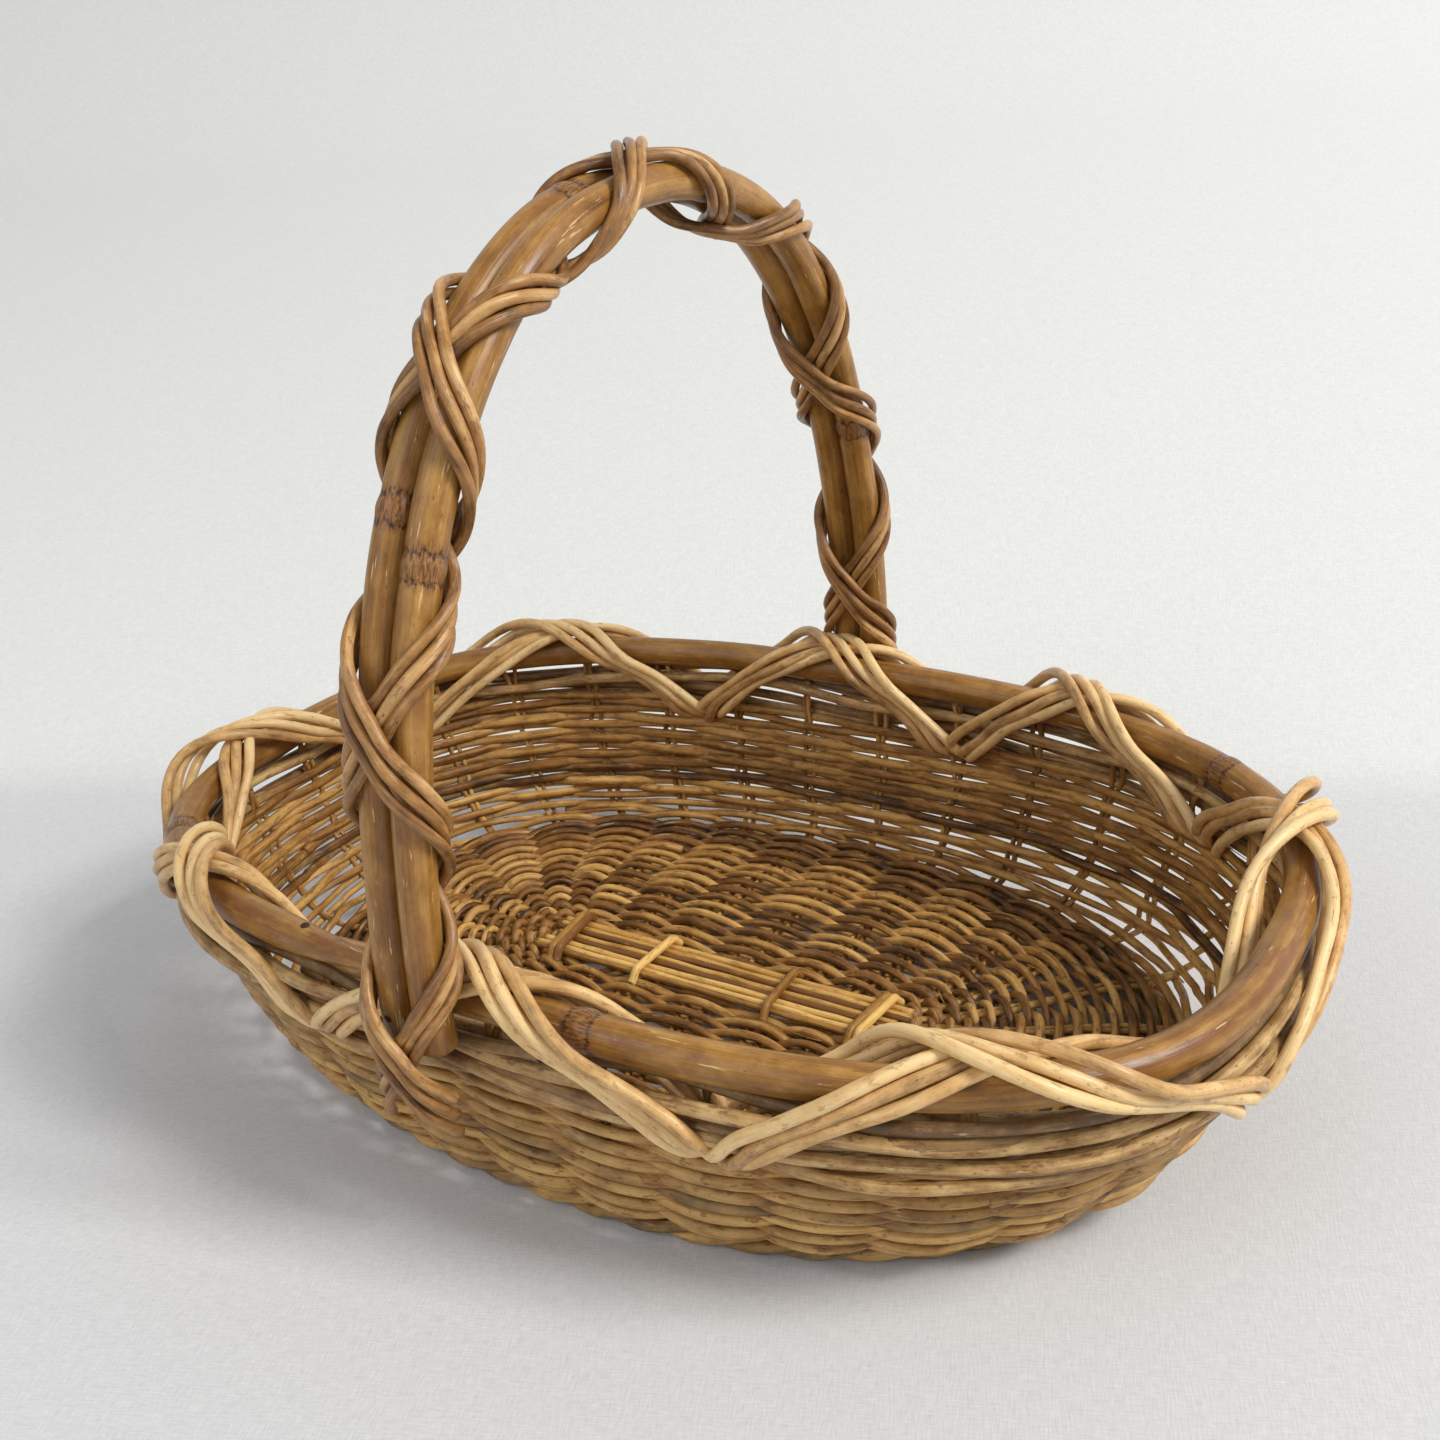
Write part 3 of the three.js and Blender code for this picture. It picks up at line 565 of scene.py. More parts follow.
def loop_point(travel, radius, spread):
    """A point round two half-turns `spread` either side of the middle, joined by straights."""
    bend = np.pi * radius
    straight = 2 * spread
    whole = 2 * (bend + straight)
    s = np.mod(travel + 0.5 * bend / whole, 1) * whole
    turn = s / radius
    back = (s - bend - straight) / radius
    stretch = [s < bend, s < bend + straight, s < 2 * bend + straight]
    sideways = np.select(stretch, [-np.cos(turn) * radius, radius, np.cos(back) * radius], -radius)
    lengthways = np.select(stretch, [spread + np.sin(turn) * radius, spread - (s - bend),
                                     -spread - np.sin(back) * radius],
                           -spread + (s - 2 * bend - straight))
    return sideways, lengthways


def rim_place(turn):
    whole = np.floor(turn).astype(int)
    count = len(RIM_CROSSINGS)
    table = np.array(RIM_CROSSINGS)
    here = table[whole % count] + whole // count
    after = table[(whole + 1) % count] + (whole + 1) // count
    return here + (after - here) * (turn - whole)


def rim_strand(hand, index, seed):
    """One strand wound round the hoop: its path, outward direction and thickness."""
    core = RIM_RADIUS + STRAND_RADIUS
    turns = len(RIM_CROSSINGS)
    turn = np.linspace(0.5, turns + 0.5, turns * LOOP_STEPS)
    travel = np.mod(turn, 1)
    sideways, lengthways = loop_point(travel, core, LOOP_DROP)
    curved = np.abs(lengthways) > LOOP_DROP
    radial_s = np.where(curved, sideways, np.sign(sideways) * core)
    radial_l = np.where(curved, lengthways - np.where(lengthways > 0, LOOP_DROP, -LOOP_DROP), 0)
    size = np.hypot(radial_s, radial_l)
    near_top = np.abs(travel - np.round(travel))
    lift = (1 - smooth(0.05, 0.26, near_top)) * 2 * STRAND_RADIUS * (hand > 0)
    at_end = np.abs(np.cos(2 * np.pi * rim_place(turn))) ** 10
    ease = (1.7 + 2.2 * at_end) * (1 - smooth(0.2, 0.45, near_top))
    slack = (0.8 + ease * (1 + wander(seed, turn, 1.2))) * MM
    sideways = sideways + (lift + slack) * radial_s / size
    lengthways = lengthways + (lift + slack) * radial_l / size
    depth = LOOP_DROP + 1.6 * MM * wander(seed + 2, turn, 1.1)
    lengthways = np.where(lengthways < 0, lengthways * depth / LOOP_DROP, lengthways)
    bow = 0.55 * np.sin(2 * np.pi * turn) / (2 * np.pi)
    fan = 8.8 * MM * (1 + 0.3 * (1 - smooth(0.0, 0.25, near_top)) - 0.35 * smooth(0.3, 0.5, near_top))
    loose = 2.3 * MM * wander(seed + 5, turn, 0.8)
    place = rim_place(turn + bow) + ((index - 1) * fan + loose) / RIM_LENGTH
    path, outward = beside_rim(place, hand * sideways, lengthways - LOOP_DROP)
    radial = outward * (hand * radial_s / size)[:, None]
    radial[:, 2] += radial_l / size
    return soften(path), radial, STRAND_RADIUS * (1 + 0.08 * wander(seed + 7, turn, 0.8))


def make_rim_binding(look):
    """Two bundles wound in opposite hands; the one going outward at a crossing lies on top."""
    for bundle, hand in (("b", -1), ("a", 1)):
        for index in range(BUNDLE_STRANDS):
            seed = 4000 + 10 * (bundle == "a") + index
            path, radial, thick = rim_strand(hand, index, seed)
            strand = Strands()
            strand.tube(path, radial, thick, STRAND_SIDES, seed, outer=0.9)
            label = f"rim_binding_{bundle}{index + 1}"
            strand.build(label + "_cane", look, "binding_cane", [label])


def soften(path, rounds=3):
    """Rounds off a path's corners."""
    path = path.copy()
    for _ in range(rounds):
        path[1:-1] = path[1:-1] / 2 + (path[:-2] + path[2:]) / 4
    return path


# ---- Handle ---------------------------------------------------------------------------------
def handle_table(count=1200):
    angle = np.linspace(0, np.pi, count)
    power = 2 / HANDLE_SQUARENESS
    y = -HANDLE_HALF_SPAN * np.sign(np.cos(angle)) * np.abs(np.cos(angle)) ** power
    rise = (HANDLE_TOP - HANDLE_FOOT) * np.abs(np.sin(angle)) ** power
    foot_x = (LEFT_LOW[0] + RIGHT_HIGH[0]) / 2 - HANDLE_LEAN * (HANDLE_TOP - HANDLE_FOOT) / 2
    points = np.stack([foot_x + HANDLE_LEAN * rise, y, HANDLE_FOOT + rise], -1)
    travel = np.concatenate([[0], np.cumsum(np.linalg.norm(np.diff(points, axis=0), axis=1))])
    return points, travel / travel[-1], travel[-1]


HANDLE_POINTS, HANDLE_TRAVEL, HANDLE_LENGTH = handle_table()


def beside_handle(fraction, right, out):
    """Points beside the handle's middle, with the direction away from the inside of the arch."""
    along = np.clip(fraction, 0, 1)
    place = np.stack([np.interp(along, HANDLE_TRAVEL, HANDLE_POINTS[:, i]) for i in range(3)], -1)
    slope = np.gradient(HANDLE_POINTS, axis=0)
    direction = np.stack([np.interp(along, HANDLE_TRAVEL, slope[:, i]) for i in range(3)], -1)
    beyond = (fraction - along) * HANDLE_LENGTH
    outward = unit(np.stack([direction[:, 0] * 0, -direction[:, 2], direction[:, 1]], -1))
    place = place + unit(direction) * beyond[:, None] + outward * np.asarray(out)[:, None]
    place[:, 0] += right
    return place, outward


def handle_strand(hand, index, seed):
    """One strand wound round both handle canes: its path, outward direction and thickness."""
    core = CANE_RADIUS + HANDLE_STRAND_RADIUS
    turn = np.linspace(-0.2, HANDLE_TURNS + 0.2, HANDLE_TURNS * LOOP_STEPS)
    over, across = loop_point(turn + 0.25, core, CANE_RADIUS)
    near_face = np.abs(np.mod(turn + 0.25, 0.5) - 0.25)
    raised = (1 - smooth(0.05, 0.2, near_face)) * 2 * HANDLE_STRAND_RADIUS * (hand > 0)
    slack = (0.3 + 1.3 * (1 + wander(seed, turn, 1.1)) / 2) * MM
    facing = np.clip(over / core, -1, 1)
    spread = (HANDLE_FAN + 1.6 * wander(seed + 3, turn, 1.3)) * MM
    bow = 0.12 * np.sin(4 * np.pi * turn) / (4 * np.pi)
    place = (turn + bow) / HANDLE_TURNS + (index - 1) * spread / HANDLE_LENGTH
    right = hand * (across + slack * np.sign(across))
    path, outward = beside_handle(place, right, over + (raised + slack) * facing)
    radial = outward * facing[:, None]
    radial[:, 0] += hand * across / (2 * core)
    return soften(path), radial, HANDLE_STRAND_RADIUS * (1 + 0.08 * wander(seed + 7, turn, 0.8))


def make_handle_binding(look):
    """Two bundles wound in opposite hands round the pair of handle canes."""
    for bundle, hand in (("a", -1), ("b", 1)):
        for index in range(BUNDLE_STRANDS):
            seed = 5000 + 10 * (bundle == "b") + index
            path, radial, thick = handle_strand(hand, index, seed)
            strand = Strands()
            strand.tube(path, radial, thick, STRAND_SIDES, seed, outer=0.9)
            label = f"handle_binding_{bundle}{index + 1}"
            strand.build(label + "_cane", look, "binding_cane", [label])


# ---- Thick canes ----------------------------------------------------------------------------
JOINT_SWELL = 0.55 * MM
RIM_SCUFFING = 0.7
HANDLE_SCUFFING = 0.3


def joint_swell(along, places, width):
    """A raised ring at each growth joint, with a slight waist beside it."""
    swell = np.zeros_like(along)
    for place in places:
        gap = (along - place) / width
        swell += np.exp(-gap ** 2) - 0.45 * np.exp(-((gap - 1.6) ** 2) * 2)
    return swell


def make_hoop():
    """The thick cane hoop; its two ends are pared thin and lie on each other in a long scarf."""
    first, last = RIM_JOINT - SCARF_HALF, RIM_JOINT + 1 + SCARF_HALF
    fraction = np.linspace(first, last, 1000)
    start_part = 1 - smooth(0, 2 * SCARF_HALF, fraction - first)
    end_part = 1 - smooth(0, 2 * SCARF_HALF, last - fraction)
    thinned = np.maximum(start_part, end_part)
    slide = (end_part - start_part) * 0.52 * RIM_RADIUS
    out = 0.5 * MM * wander(21, fraction, 0.3) * (1 - thinned) + 0.75 * slide
    up = 0.4 * MM * wander(22, fraction, 0.25) * (1 - thinned) + 0.75 * slide
    path = beside_rim(fraction, out, up)[0]
    along = (fraction - first) * RIM_LENGTH
    places = [np.mod(place - first, 1) * RIM_LENGTH for place in RIM_NODES]
    radius = RIM_RADIUS * (1 + 0.02 * wander(23, fraction, 0.15)) * (1 - 0.5 * thinned)
    radius = radius + JOINT_SWELL * joint_swell(along, places, 3.2 * MM)
    hoop = Strands()
    hoop.tube(path, np.tile([0.0, 0.0, 1.0], (len(path), 1)), radius, CANE_SIDES, 6000, outer=0.5)
    look = pole_material("rim_cane", [place / MM for place in places], RIM_SCUFFING)
    hoop.build("rim_hoop_cane", look, "rim_cane", ["rim_hoop"])


def make_handle_canes():
    """The two thick canes that arch over the basket side by side."""
    for index, (name, nodes) in enumerate(HANDLE_NODES.items()):
        along = np.linspace(0, 1, 620)
        side = (-1, 1)[index]
        right = side * CANE_RADIUS + 0.35 * MM * wander(31 + index, along, 0.4)
        path, outward = beside_handle(along, right, 0.5 * MM * wander(33 + index, along, 0.3))
        places = [node * HANDLE_LENGTH for node in nodes]
        radius = CANE_RADIUS * (0.985 + 0.02 * wander(35 + index, along, 0.25))
        radius = radius + JOINT_SWELL * joint_swell(along * HANDLE_LENGTH, places, 3.0 * MM)
        cane = Strands()
        cane.tube(path, outward, radius, CANE_SIDES, 6100 + index, outer=0.5)
        marks = [place / MM for place in places]
        look = pole_material(f"handle_cane_{name}_look", marks, HANDLE_SCUFFING)
        cane.build(f"handle_{name}_cane", look, "handle_cane", [f"handle_cane_{name}"])


# A nail's outline from the shank to the top of the head: millimetres from the top, share of the head
NAIL_LEVELS = [-4.0, -0.9, -0.85, -0.5, -0.15, 0.0]
NAIL_SHARES = [0.4, 0.4, 1.0, 1.0, 0.8, 0.35]


def make_nails(material):
    """A round-headed nail in place of each of the frame's nails."""
    names = [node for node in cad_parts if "nail" in node]
    for name in names:
        low, high = node_box(name)
        middle = (low + high) / 2
        size = high - low
        axis = int(np.argmax(size))
        sign = -1.0 if "near" in name else 1.0
        end = middle.copy()
        end[axis] = low[axis] if sign < 0 else high[axis]
        direction = np.zeros(3)
        direction[axis] = sign
        head = float(np.sort(size)[0]) / 2 * 0.8
        path = end + (np.array(NAIL_LEVELS) * MM)[:, None] * direction
        nail = Strands()
        reference = np.tile(np.roll(np.abs(direction), 1), (len(path), 1))
        nail.tube(path, reference, np.array(NAIL_SHARES) * head, NAIL_SIDES, 7000 + len(name))
        nail.build(name + "_head", material, "nail_steel", [name])


# ---- Materials ------------------------------------------------------------------------------
class Nodes:
    """A short way to write a node material."""

    def __init__(self, name):
        self.material = bpy.data.materials.new(name)
        self.material.use_nodes = True
        self.tree = self.material.node_tree
        self.shader = self.tree.nodes["Principled BSDF"]
        self.attributes = {}

    def add(self, kind, inputs=None, **settings):
        node = self.tree.nodes.new(kind)
        for key, value in settings.items():
            setattr(node, key, value)
        for key, value in (inputs or {}).items():
            self.put(node.inputs[key], value)
        return node

    def put(self, socket, value):
        if isinstance(value, bpy.types.NodeSocket):
            self.tree.links.new(value, socket)
        else:
            socket.default_value = value

    def attribute(self, name, output="Fac"):
        if name not in self.attributes:
            self.attributes[name] = self.add("ShaderNodeAttribute", attribute_name=name)
        return self.attributes[name].outputs[output]

    def scaled(self, vector, scale, rotation=(0, 0, 0)):
        inputs = {"Vector": vector, "Scale": scale, "Rotation": rotation}
        return self.add("ShaderNodeMapping", inputs).outputs["Vector"]

    def stretched(self, vector, across, along):
        return self.scaled(vector, (across, across, along))

    def noise(self, vector, scale=1.0, detail=3.0, rough=0.55):
        inputs = {"Vector": vector, "Scale": scale, "Detail": detail, "Roughness": rough}
        return self.add("ShaderNodeTexNoise", inputs).outputs["Fac"]

    def math(self, operation, first, second=0.0, clamp=False):
        node = self.add("ShaderNodeMath", {0: first, 1: second}, operation=operation, use_clamp=clamp)
        return node.outputs[0]

    def between(self, value, low, high, to_low=0.0, to_high=1.0):
        inputs = {"Value": value, "From Min": low, "From Max": high}
        inputs |= {"To Min": to_low, "To Max": to_high}
        return self.add("ShaderNodeMapRange", inputs).outputs["Result"]

    def mix(self, factor, first, second, blend="MIX"):
        node = self.add("ShaderNodeMix", data_type="RGBA", blend_type=blend)
        self.put(node.inputs[0], factor)
        self.put(node.inputs[6], first)
        self.put(node.inputs[7], second)
        return node.outputs[2]


def tint(red, green, blue):
    """An sRGB colour, 0 to 255, as a linear RGBA one."""
    def linear(value):
        value = value / 255
        return value / 12.92 if value <= 0.04045 else ((value + 0.055) / 1.055) ** 2.4
    return (linear(red), linear(green), linear(blue), 1.0)


def cane_grain(n, streak, fine, patch, look):
    """The clean cane's colour: long streaks, fine fibres, slow patches and the strand's own tone, with the
    outer side paler, partly from weathering and partly as painted light.
    """
    value = n.math("ADD", n.math("MULTIPLY", streak, look["contrast"]), n.math("MULTIPLY", fine, 0.3))
    value = n.math("ADD", value, n.math("MULTIPLY", patch, look["patches"]))
    value = n.math("ADD", value, n.math("MULTIPLY", n.attribute("tone"), look["tone"]))
    centre = (look["contrast"] + 0.3 + look["patches"] + look["tone"]) / 2 + look["shift"]
    value = n.between(value, centre - 0.5, centre + 0.5)
    ramp = n.add("ShaderNodeValToRGB", {"Fac": value})
    dark, middle, light, pale = look["tints"]
    ramp.color_ramp.elements[0].color = dark
    ramp.color_ramp.elements[0].position = 0.12
    ramp.color_ramp.elements[1].color = light
    ramp.color_ramp.elements[1].position = 0.9
    ramp.color_ramp.elements.new(0.5).color = middle
    # Painted light in part: the side of each rod that faces out is mixed toward the pale tint, for real
    # weathering and for the light that falls on the outside while the inside lies in shade.
    outside = n.between(n.attribute("outer"), -0.2, 0.9, 0.0, look["weathered"])
    outside = n.math("MULTIPLY", outside, n.between(patch, 0.3, 0.6, 0.35, 1.0))
    return n.mix(outside, ramp.outputs["Color"], pale)


def cane_marks(n, fibre, colour, bark, fleck, look):
    """Bark left on, dark flecks, peeled slivers and darker cut ends."""
    colour = n.mix(bark, colour, look["bark_tint"])
    colour = n.mix(fleck, colour, tint(52, 30, 16))
    peeled = n.noise(n.stretched(fibre, 0.3, 0.05), 1.0, 5.0, 0.7)
    peeled = n.between(peeled, 0.62, 0.67, 0.0, look["peeled"])
    colour = n.mix(peeled, colour, tint(226, 204, 164))
    cut = n.between(n.attribute("end"), 0.0, 1.4, 0.7, 0.0)
    return n.mix(cut, colour, tint(96, 68, 38))


def cane_nodes(name, look):
    """Rattan: long streaks and fine fibres, bark flecks, each strand its own tone."""
    n = Nodes(name)
    fibre = n.attribute("fibre", "Vector")
    streak = n.noise(n.stretched(fibre, look["streak"], look["streak"] * 0.03), 1.0, 5.0, 0.62)
    fine = n.noise(n.stretched(fibre, look["fine"], look["fine"] * 0.02), 1.0, 2.0, 0.5)
    patch = n.noise(n.stretched(fibre, 0.1, 0.06), 1.0, 6.0, 0.68)
    bark = n.noise(n.stretched(fibre, 0.36, 0.13), 1.0, 5.0, 0.7)
    bark = n.between(bark, 0.57, 0.63, 0.0, look["bark"])
    fleck = n.noise(n.stretched(fibre, 0.9, 0.35), 1.0, 2.0, 0.6)
    fleck = n.between(fleck, 0.70, 0.75, 0.0, look["flecks"])
    colour = cane_grain(n, streak, fine, patch, look)
    n.put(n.shader.inputs["Base Color"], cane_marks(n, fibre, colour, bark, fleck, look))
    worn = n.math("ADD", n.math("MULTIPLY", streak, 0.5), n.math("MULTIPLY", patch, 0.5))
    rough = n.between(worn, 0.35, 0.65, look["rough"] - 0.1, look["rough"] + 0.14)
    n.put(n.shader.inputs["Roughness"], rough)
    n.shader.inputs["Specular IOR Level"].default_value = 0.4
    n.shader.inputs["Coat Weight"].default_value = look["coat"]
    n.shader.inputs["Coat Roughness"].default_value = 0.25
    height = n.math("ADD", n.math("MULTIPLY", fine, 0.4), n.math("MULTIPLY", streak, 0.6))
    height = n.math("ADD", height, n.math("MULTIPLY", bark, 0.35))
    height = n.math("SUBTRACT", height, n.math("MULTIPLY", fleck, 0.5))
    bump = n.add("ShaderNodeBump", {"Height": height, "Strength": look["bump"], "Distance": 0.0008})
    n.put(n.shader.inputs["Normal"], bump.outputs["Normal"])
    return n


def cane_material(name, look):
    return cane_nodes(name, LOOKS[look]).material


def joint_scars(n, places, colour):
    """The growth joints of a thick cane: a torn dark ring with a cracked, scaly band beside it."""
    along = n.attribute("along")
    fibre = n.attribute("fibre", "Vector")
    wobble = n.noise(n.stretched(fibre, 0.45, 0.3), 1.0, 3.0)
    cracks = n.noise(n.stretched(fibre, 1.3, 0.16), 1.0, 4.0, 0.7)
    ragged = n.math("ADD", along, n.between(wobble, 0.2, 0.8, -2.2, 2.2))
    ring, band = None, None
    for place in places:
        gap = n.math("SUBTRACT", ragged, place)
        edge = n.math("ABSOLUTE", n.math("SUBTRACT", n.math("ABSOLUTE", gap), 5.0))
        one = n.between(edge, 0.3, 1.3, 0.9, 0.0)
        two = n.between(n.math("ABSOLUTE", gap), 5.0, 9.0, 1.0, 0.0)
        ring = one if ring is None else n.math("MAXIMUM", ring, one)
        band = two if band is None else n.math("MAXIMUM", band, two)
    colour = n.mix(n.math("MULTIPLY", band, 0.6), colour, tint(150, 102, 56))
    torn = n.math("MULTIPLY", band, n.between(cracks, 0.47, 0.57, 0.0, 0.85))
    colour = n.mix(torn, colour, tint(84, 48, 22))
    ring = n.math("MULTIPLY", ring, n.between(cracks, 0.38, 0.5))
    return n.mix(ring, colour, tint(58, 32, 14))


def scuffs(n, colour, amount):
    """Rubbed places: reddish-brown bark left along one side, and pale peeled slivers."""
    fibre = n.attribute("fibre", "Vector")
    angle = n.attribute("angle")
    side = n.math("SINE", n.math("ADD", angle, 0.95))
    wide = n.noise(n.stretched(fibre, 0.11, 0.017), 1.0, 5.0, 0.7)
    bark = n.math("MULTIPLY", n.between(side, 0.78, 0.95), n.between(wide, 0.47, 0.53, 0.0, amount))
    colour = n.mix(bark, colour, tint(126, 74, 36))
    sliver = n.noise(n.stretched(fibre, 0.38, 0.035), 1.0, 4.0, 0.65)
    return n.mix(n.between(sliver, 0.65, 0.68, 0.0, 0.75), colour, tint(222, 190, 138))


def cane_look(dark, middle, light, pale, bark_tint, **changes):
    """A cane's four tints, its bark's tint, and how strongly each effect shows."""
    look = dict(streak=0.4, fine=2.4, contrast=0.8, patches=1.1, tone=0.6, shift=0.0, weathered=0.3,
                bark=0.6, flecks=0.75, peeled=0.5, rough=0.34, coat=0.15, bump=0.6)
    look["tints"] = [tint(*values) for values in (dark, middle, light, pale)]
    look["bark_tint"] = tint(*bark_tint)
    return look | changes


LOOKS = {
    "weave": cane_look((62, 34, 10), (152, 104, 45), (216, 170, 96), (220, 184, 120), (98, 54, 22),
                       streak=0.5, fine=3.2, contrast=0.9, tone=0.55, weathered=0.42, flecks=0.85,
                       peeled=0.35, rough=0.42, coat=0.05, bump=0.7),
    "spine": cane_look((118, 74, 26), (196, 144, 68), (240, 198, 116), (226, 182, 106), (120, 74, 34),
                       streak=0.5, fine=3.0, patches=0.7, tone=1.1, weathered=0.2, bark=0.4,
                       flecks=0.8, peeled=0.3, rough=0.4, coat=0.08, bump=0.7),
    "wale": cane_look((72, 40, 16), (144, 101, 50), (220, 184, 124), (220, 188, 132), (110, 66, 32),
                      streak=0.42, fine=2.6, patches=1.2, tone=0.9, shift=0.05, weathered=0.2,
                      bark=0.65, flecks=0.85, rough=0.4, coat=0.08, bump=0.7),
    "rim_binding": cane_look((104, 62, 28), (206, 155, 88), (242, 208, 148), (238, 206, 150),
                             (140, 88, 46), contrast=0.9, patches=1.2, shift=-0.17, bark=0.45),
    "handle_binding": cane_look((84, 48, 22), (168, 119, 63), (226, 184, 124), (228, 192, 138),
                                (112, 70, 42), shift=-0.1, weathered=0.05, bark=0.55, peeled=0.4),
    "pole": cane_look((88, 50, 15), (149, 103, 43), (193, 148, 78), (196, 152, 88), (110, 66, 32),
                      streak=0.2, fine=1.8, contrast=1.2, patches=1.0, tone=0.1, weathered=0.1,
                      bark=0.25, flecks=0.6, peeled=0.1, rough=0.36, coat=0.16, bump=0.45),
}


def pole_material(name, places, scuffed):
    n = cane_nodes(name, LOOKS["pole"])
    socket = n.shader.inputs["Base Color"]
    colour = scuffs(n, socket.links[0].from_socket, scuffed)
    n.put(socket, joint_scars(n, places, colour))
    return n.material


def nail_material():
    n = Nodes("nail_steel")
    coordinates = n.add("ShaderNodeTexCoord").outputs["Object"]
    rust = n.noise(coordinates, 900.0, 4.0, 0.6)
    colour = n.mix(n.between(rust, 0.4, 0.65), tint(62, 54, 48), tint(96, 58, 34))
    n.put(n.shader.inputs["Base Color"], colour)
    n.shader.inputs["Metallic"].default_value = 0.7
    n.put(n.shader.inputs["Roughness"], n.between(rust, 0.3, 0.7, 0.4, 0.8))
    bump = n.add("ShaderNodeBump", {"Height": rust, "Strength": 0.4, "Distance": 0.0003})
    n.put(n.shader.inputs["Normal"], bump.outputs["Normal"])
    return n.material


# ---- Stage ----------------------------------------------------------------------------------
CAMERA_PLACE = Vector((0.355, -0.5056, 0.4244))
CAMERA_YAW, CAMERA_PITCH, CAMERA_ROLL = (math.radians(v) for v in (33.85, 24.16, -5.23))
CAMERA_LENS = 38.72


STAGE_TURN = math.radians(22)
CREASE = 0.222  # how far behind the middle the cloth starts to rise


def linen_material():
    """Pale cloth, a little lighter behind the crease where it starts to rise: painted light, standing in
    for the brighter light on a backdrop that rises behind and for the lamps' falloff with distance.
    """
    n = Nodes("linen")
    coordinates = n.add("ShaderNodeTexCoord").outputs["Object"]
    turned = n.scaled(coordinates, (1, 1, 1), (0, 0, -STAGE_TURN))
    depth = n.add("ShaderNodeSeparateXYZ", {"Vector": turned}).outputs["Y"]
    behind = n.between(depth, CREASE - 0.012, CREASE + 0.03)
    warp = n.noise(n.scaled(turned, (1300, 150, 150)))
    weft = n.noise(n.scaled(turned, (150, 1300, 1300)))
    thread = n.math("ADD", warp, weft)
    floor = n.mix(n.between(thread, 0.7, 1.3), tint(204, 205, 207), tint(221, 222, 224))
    # Painted light: the rising cloth gets a lighter tint than the floor, in place of the brighter light a
    # backdrop wall catches and against the lamps' falloff far behind.
    rise = n.mix(n.between(thread, 0.7, 1.3), tint(216, 217, 216), tint(232, 233, 232))
    n.put(n.shader.inputs["Base Color"], n.mix(behind, floor, rise))
    n.shader.inputs["Roughness"].default_value = 0.95
    n.shader.inputs["Specular IOR Level"].default_value = 0.15
    bump = n.add("ShaderNodeBump", {"Height": thread, "Strength": 0.3, "Distance": 0.0005})
    n.put(n.shader.inputs["Normal"], bump.outputs["Normal"])
    return n.material


def stage_section():
    """Depth and level of the cloth: flat, a shallow rise from the crease, then a sweep up far behind."""
    slope, rise_length, sweep, height = math.radians(13), 1.25, 0.5, 2.2
    section = [(-6.0, 0.0), (CREASE - 0.03, 0.0), (CREASE - 0.01, 0.0003), (CREASE + 0.01, 0.0023)]
    foot = CREASE + rise_length * math.cos(slope), rise_length * math.sin(slope)
    section.append(foot)
    for i in range(1, 13):
        turn = slope + i / 12 * (math.pi / 2 - slope)
        section.append((foot[0] + sweep * (math.sin(turn) - math.sin(slope)),
                        foot[1] + sweep * (math.cos(slope) - math.cos(turn))))
    section.append((section[-1][0], height))
    return section


def make_stage():
    """A cloth under and behind the basket, open enough to look across from every side."""
    reach = 6.0
    section = stage_section()
    forward = Vector((-math.sin(STAGE_TURN), math.cos(STAGE_TURN), 0))
    side = Vector((forward.y, -forward.x, 0))
    verts = []
    for depth, level in section:
        for sign in (-1, 1):
            verts.append(forward * depth + side * (sign * reach) + Vector((0, 0, level)))
    faces = [(2 * i, 2 * i + 1, 2 * i + 3, 2 * i + 2) for i in range(len(section) - 1)]
    mesh = bpy.data.meshes.new("backdrop")
    mesh.from_pydata([tuple(v) for v in verts], [], faces)
    for polygon in mesh.polygons:
        polygon.use_smooth = True
    mesh.materials.append(linen_material())
    backdrop = bpy.data.objects.new("backdrop", mesh)
    bpy.context.scene.collection.objects.link(backdrop)


def add_light(name, place, aim, size, power, colour):
    light = bpy.data.lights.new(name, "AREA")
    light.shape = "RECTANGLE"
    light.size, light.size_y = size
    light.energy = power
    light.color = colour
    lamp = bpy.data.objects.new(name, light)
    lamp.location = place
    lamp.rotation_euler = (Vector(aim) - Vector(place)).to_track_quat("-Z", "Y").to_euler()
    bpy.context.scene.collection.objects.link(lamp)


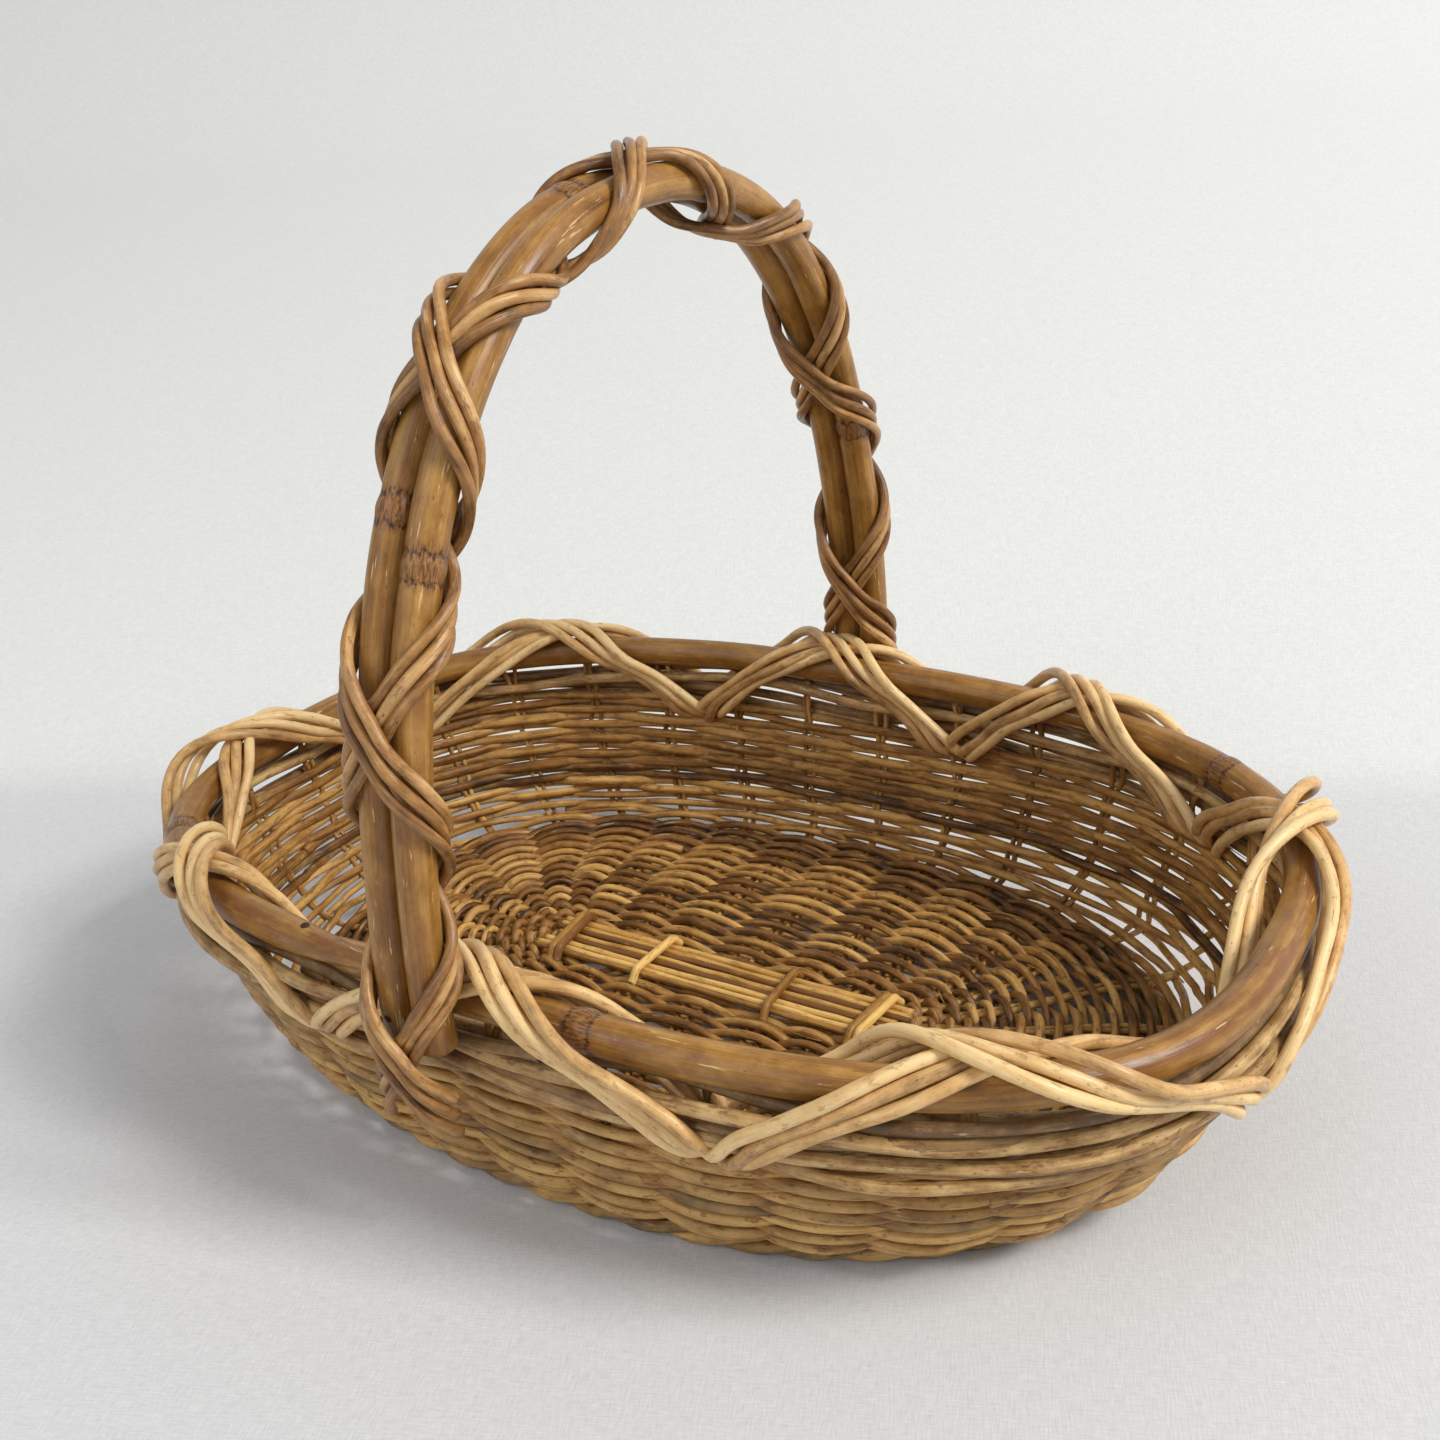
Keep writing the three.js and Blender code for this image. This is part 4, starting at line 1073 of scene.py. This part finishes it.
def make_lights():
    middle = (0, 0, 0.12)
    add_light("window", (4.1, 0.5, 4.0), middle, (1.8, 1.8), 262, (1.0, 0.98, 0.94))
    add_light("room_fill", (-0.8, -2.2, 1.9), (0, 0.2, 0.4), (2.2, 1.6), 18, (0.99, 0.995, 1.0))
    world = bpy.data.worlds.new("room")
    world.use_nodes = True
    world.node_tree.nodes["Background"].inputs["Color"].default_value = (0.98, 0.985, 1.0, 1)
    world.node_tree.nodes["Background"].inputs["Strength"].default_value = 0.43
    bpy.context.scene.world = world
    bpy.context.scene.view_settings.view_transform = "Standard"


def make_camera():
    yaw, pitch, roll = CAMERA_YAW, CAMERA_PITCH, CAMERA_ROLL
    back = Vector((math.sin(yaw) * math.cos(pitch), -math.cos(yaw) * math.cos(pitch), math.sin(pitch)))
    right = Vector((0, 0, 1)).cross(back).normalized()
    up = back.cross(right)
    turned_right = right * math.cos(roll) + up * math.sin(roll)
    turned_up = up * math.cos(roll) - right * math.sin(roll)
    rotation = Matrix((turned_right, turned_up, back)).transposed().to_4x4()
    data = bpy.data.cameras.new("camera")
    data.sensor_width = 36
    data.lens = CAMERA_LENS
    data.clip_start = 0.01
    camera = bpy.data.objects.new("camera", data)
    camera.matrix_world = Matrix.Translation(CAMERA_PLACE) @ rotation
    bpy.context.scene.collection.objects.link(camera)
    bpy.context.scene.camera = camera


# ---- Assembly -------------------------------------------------------------------------------
def nodes_named(*starts):
    return [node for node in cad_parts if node.startswith(starts)]


def make_basket():
    weave_look = cane_material("weave_cane", "weave")
    floor_rods, wall_rods = make_weave()
    floor_rods.build("weave_floor_rods", weave_look, "weave_cane", ["weave_inside"])
    wall_rods.build("weave_wall_rods", weave_look, "weave_cane", ["weave_outside"])
    stake_look = cane_material("stake_cane", "weave")
    make_stakes().build("stake_pairs", stake_look, "stake_cane", nodes_named("stake_"))
    make_whiskers().build("whiskers", weave_look, "weave_cane", [])
    make_foot().build("foot_canes", weave_look, "weave_cane", nodes_named("foot_"))
    spine_look = cane_material("spine_cane", "spine")
    make_spine().build("spine_sticks", spine_look, "spine_cane", nodes_named("spine_band"))
    make_ties().build("spine_ties", spine_look, "spine_cane", nodes_named("spine_tie"))
    make_wales(cane_material("wale_cane", "wale"))
    make_rim_binding(cane_material("rim_binding_cane", "rim_binding"))
    make_handle_binding(cane_material("handle_binding_cane", "handle_binding"))
    make_hoop()
    make_handle_canes()
    make_nails(nail_material())


make_camera()
make_lights()
make_stage()
make_basket()
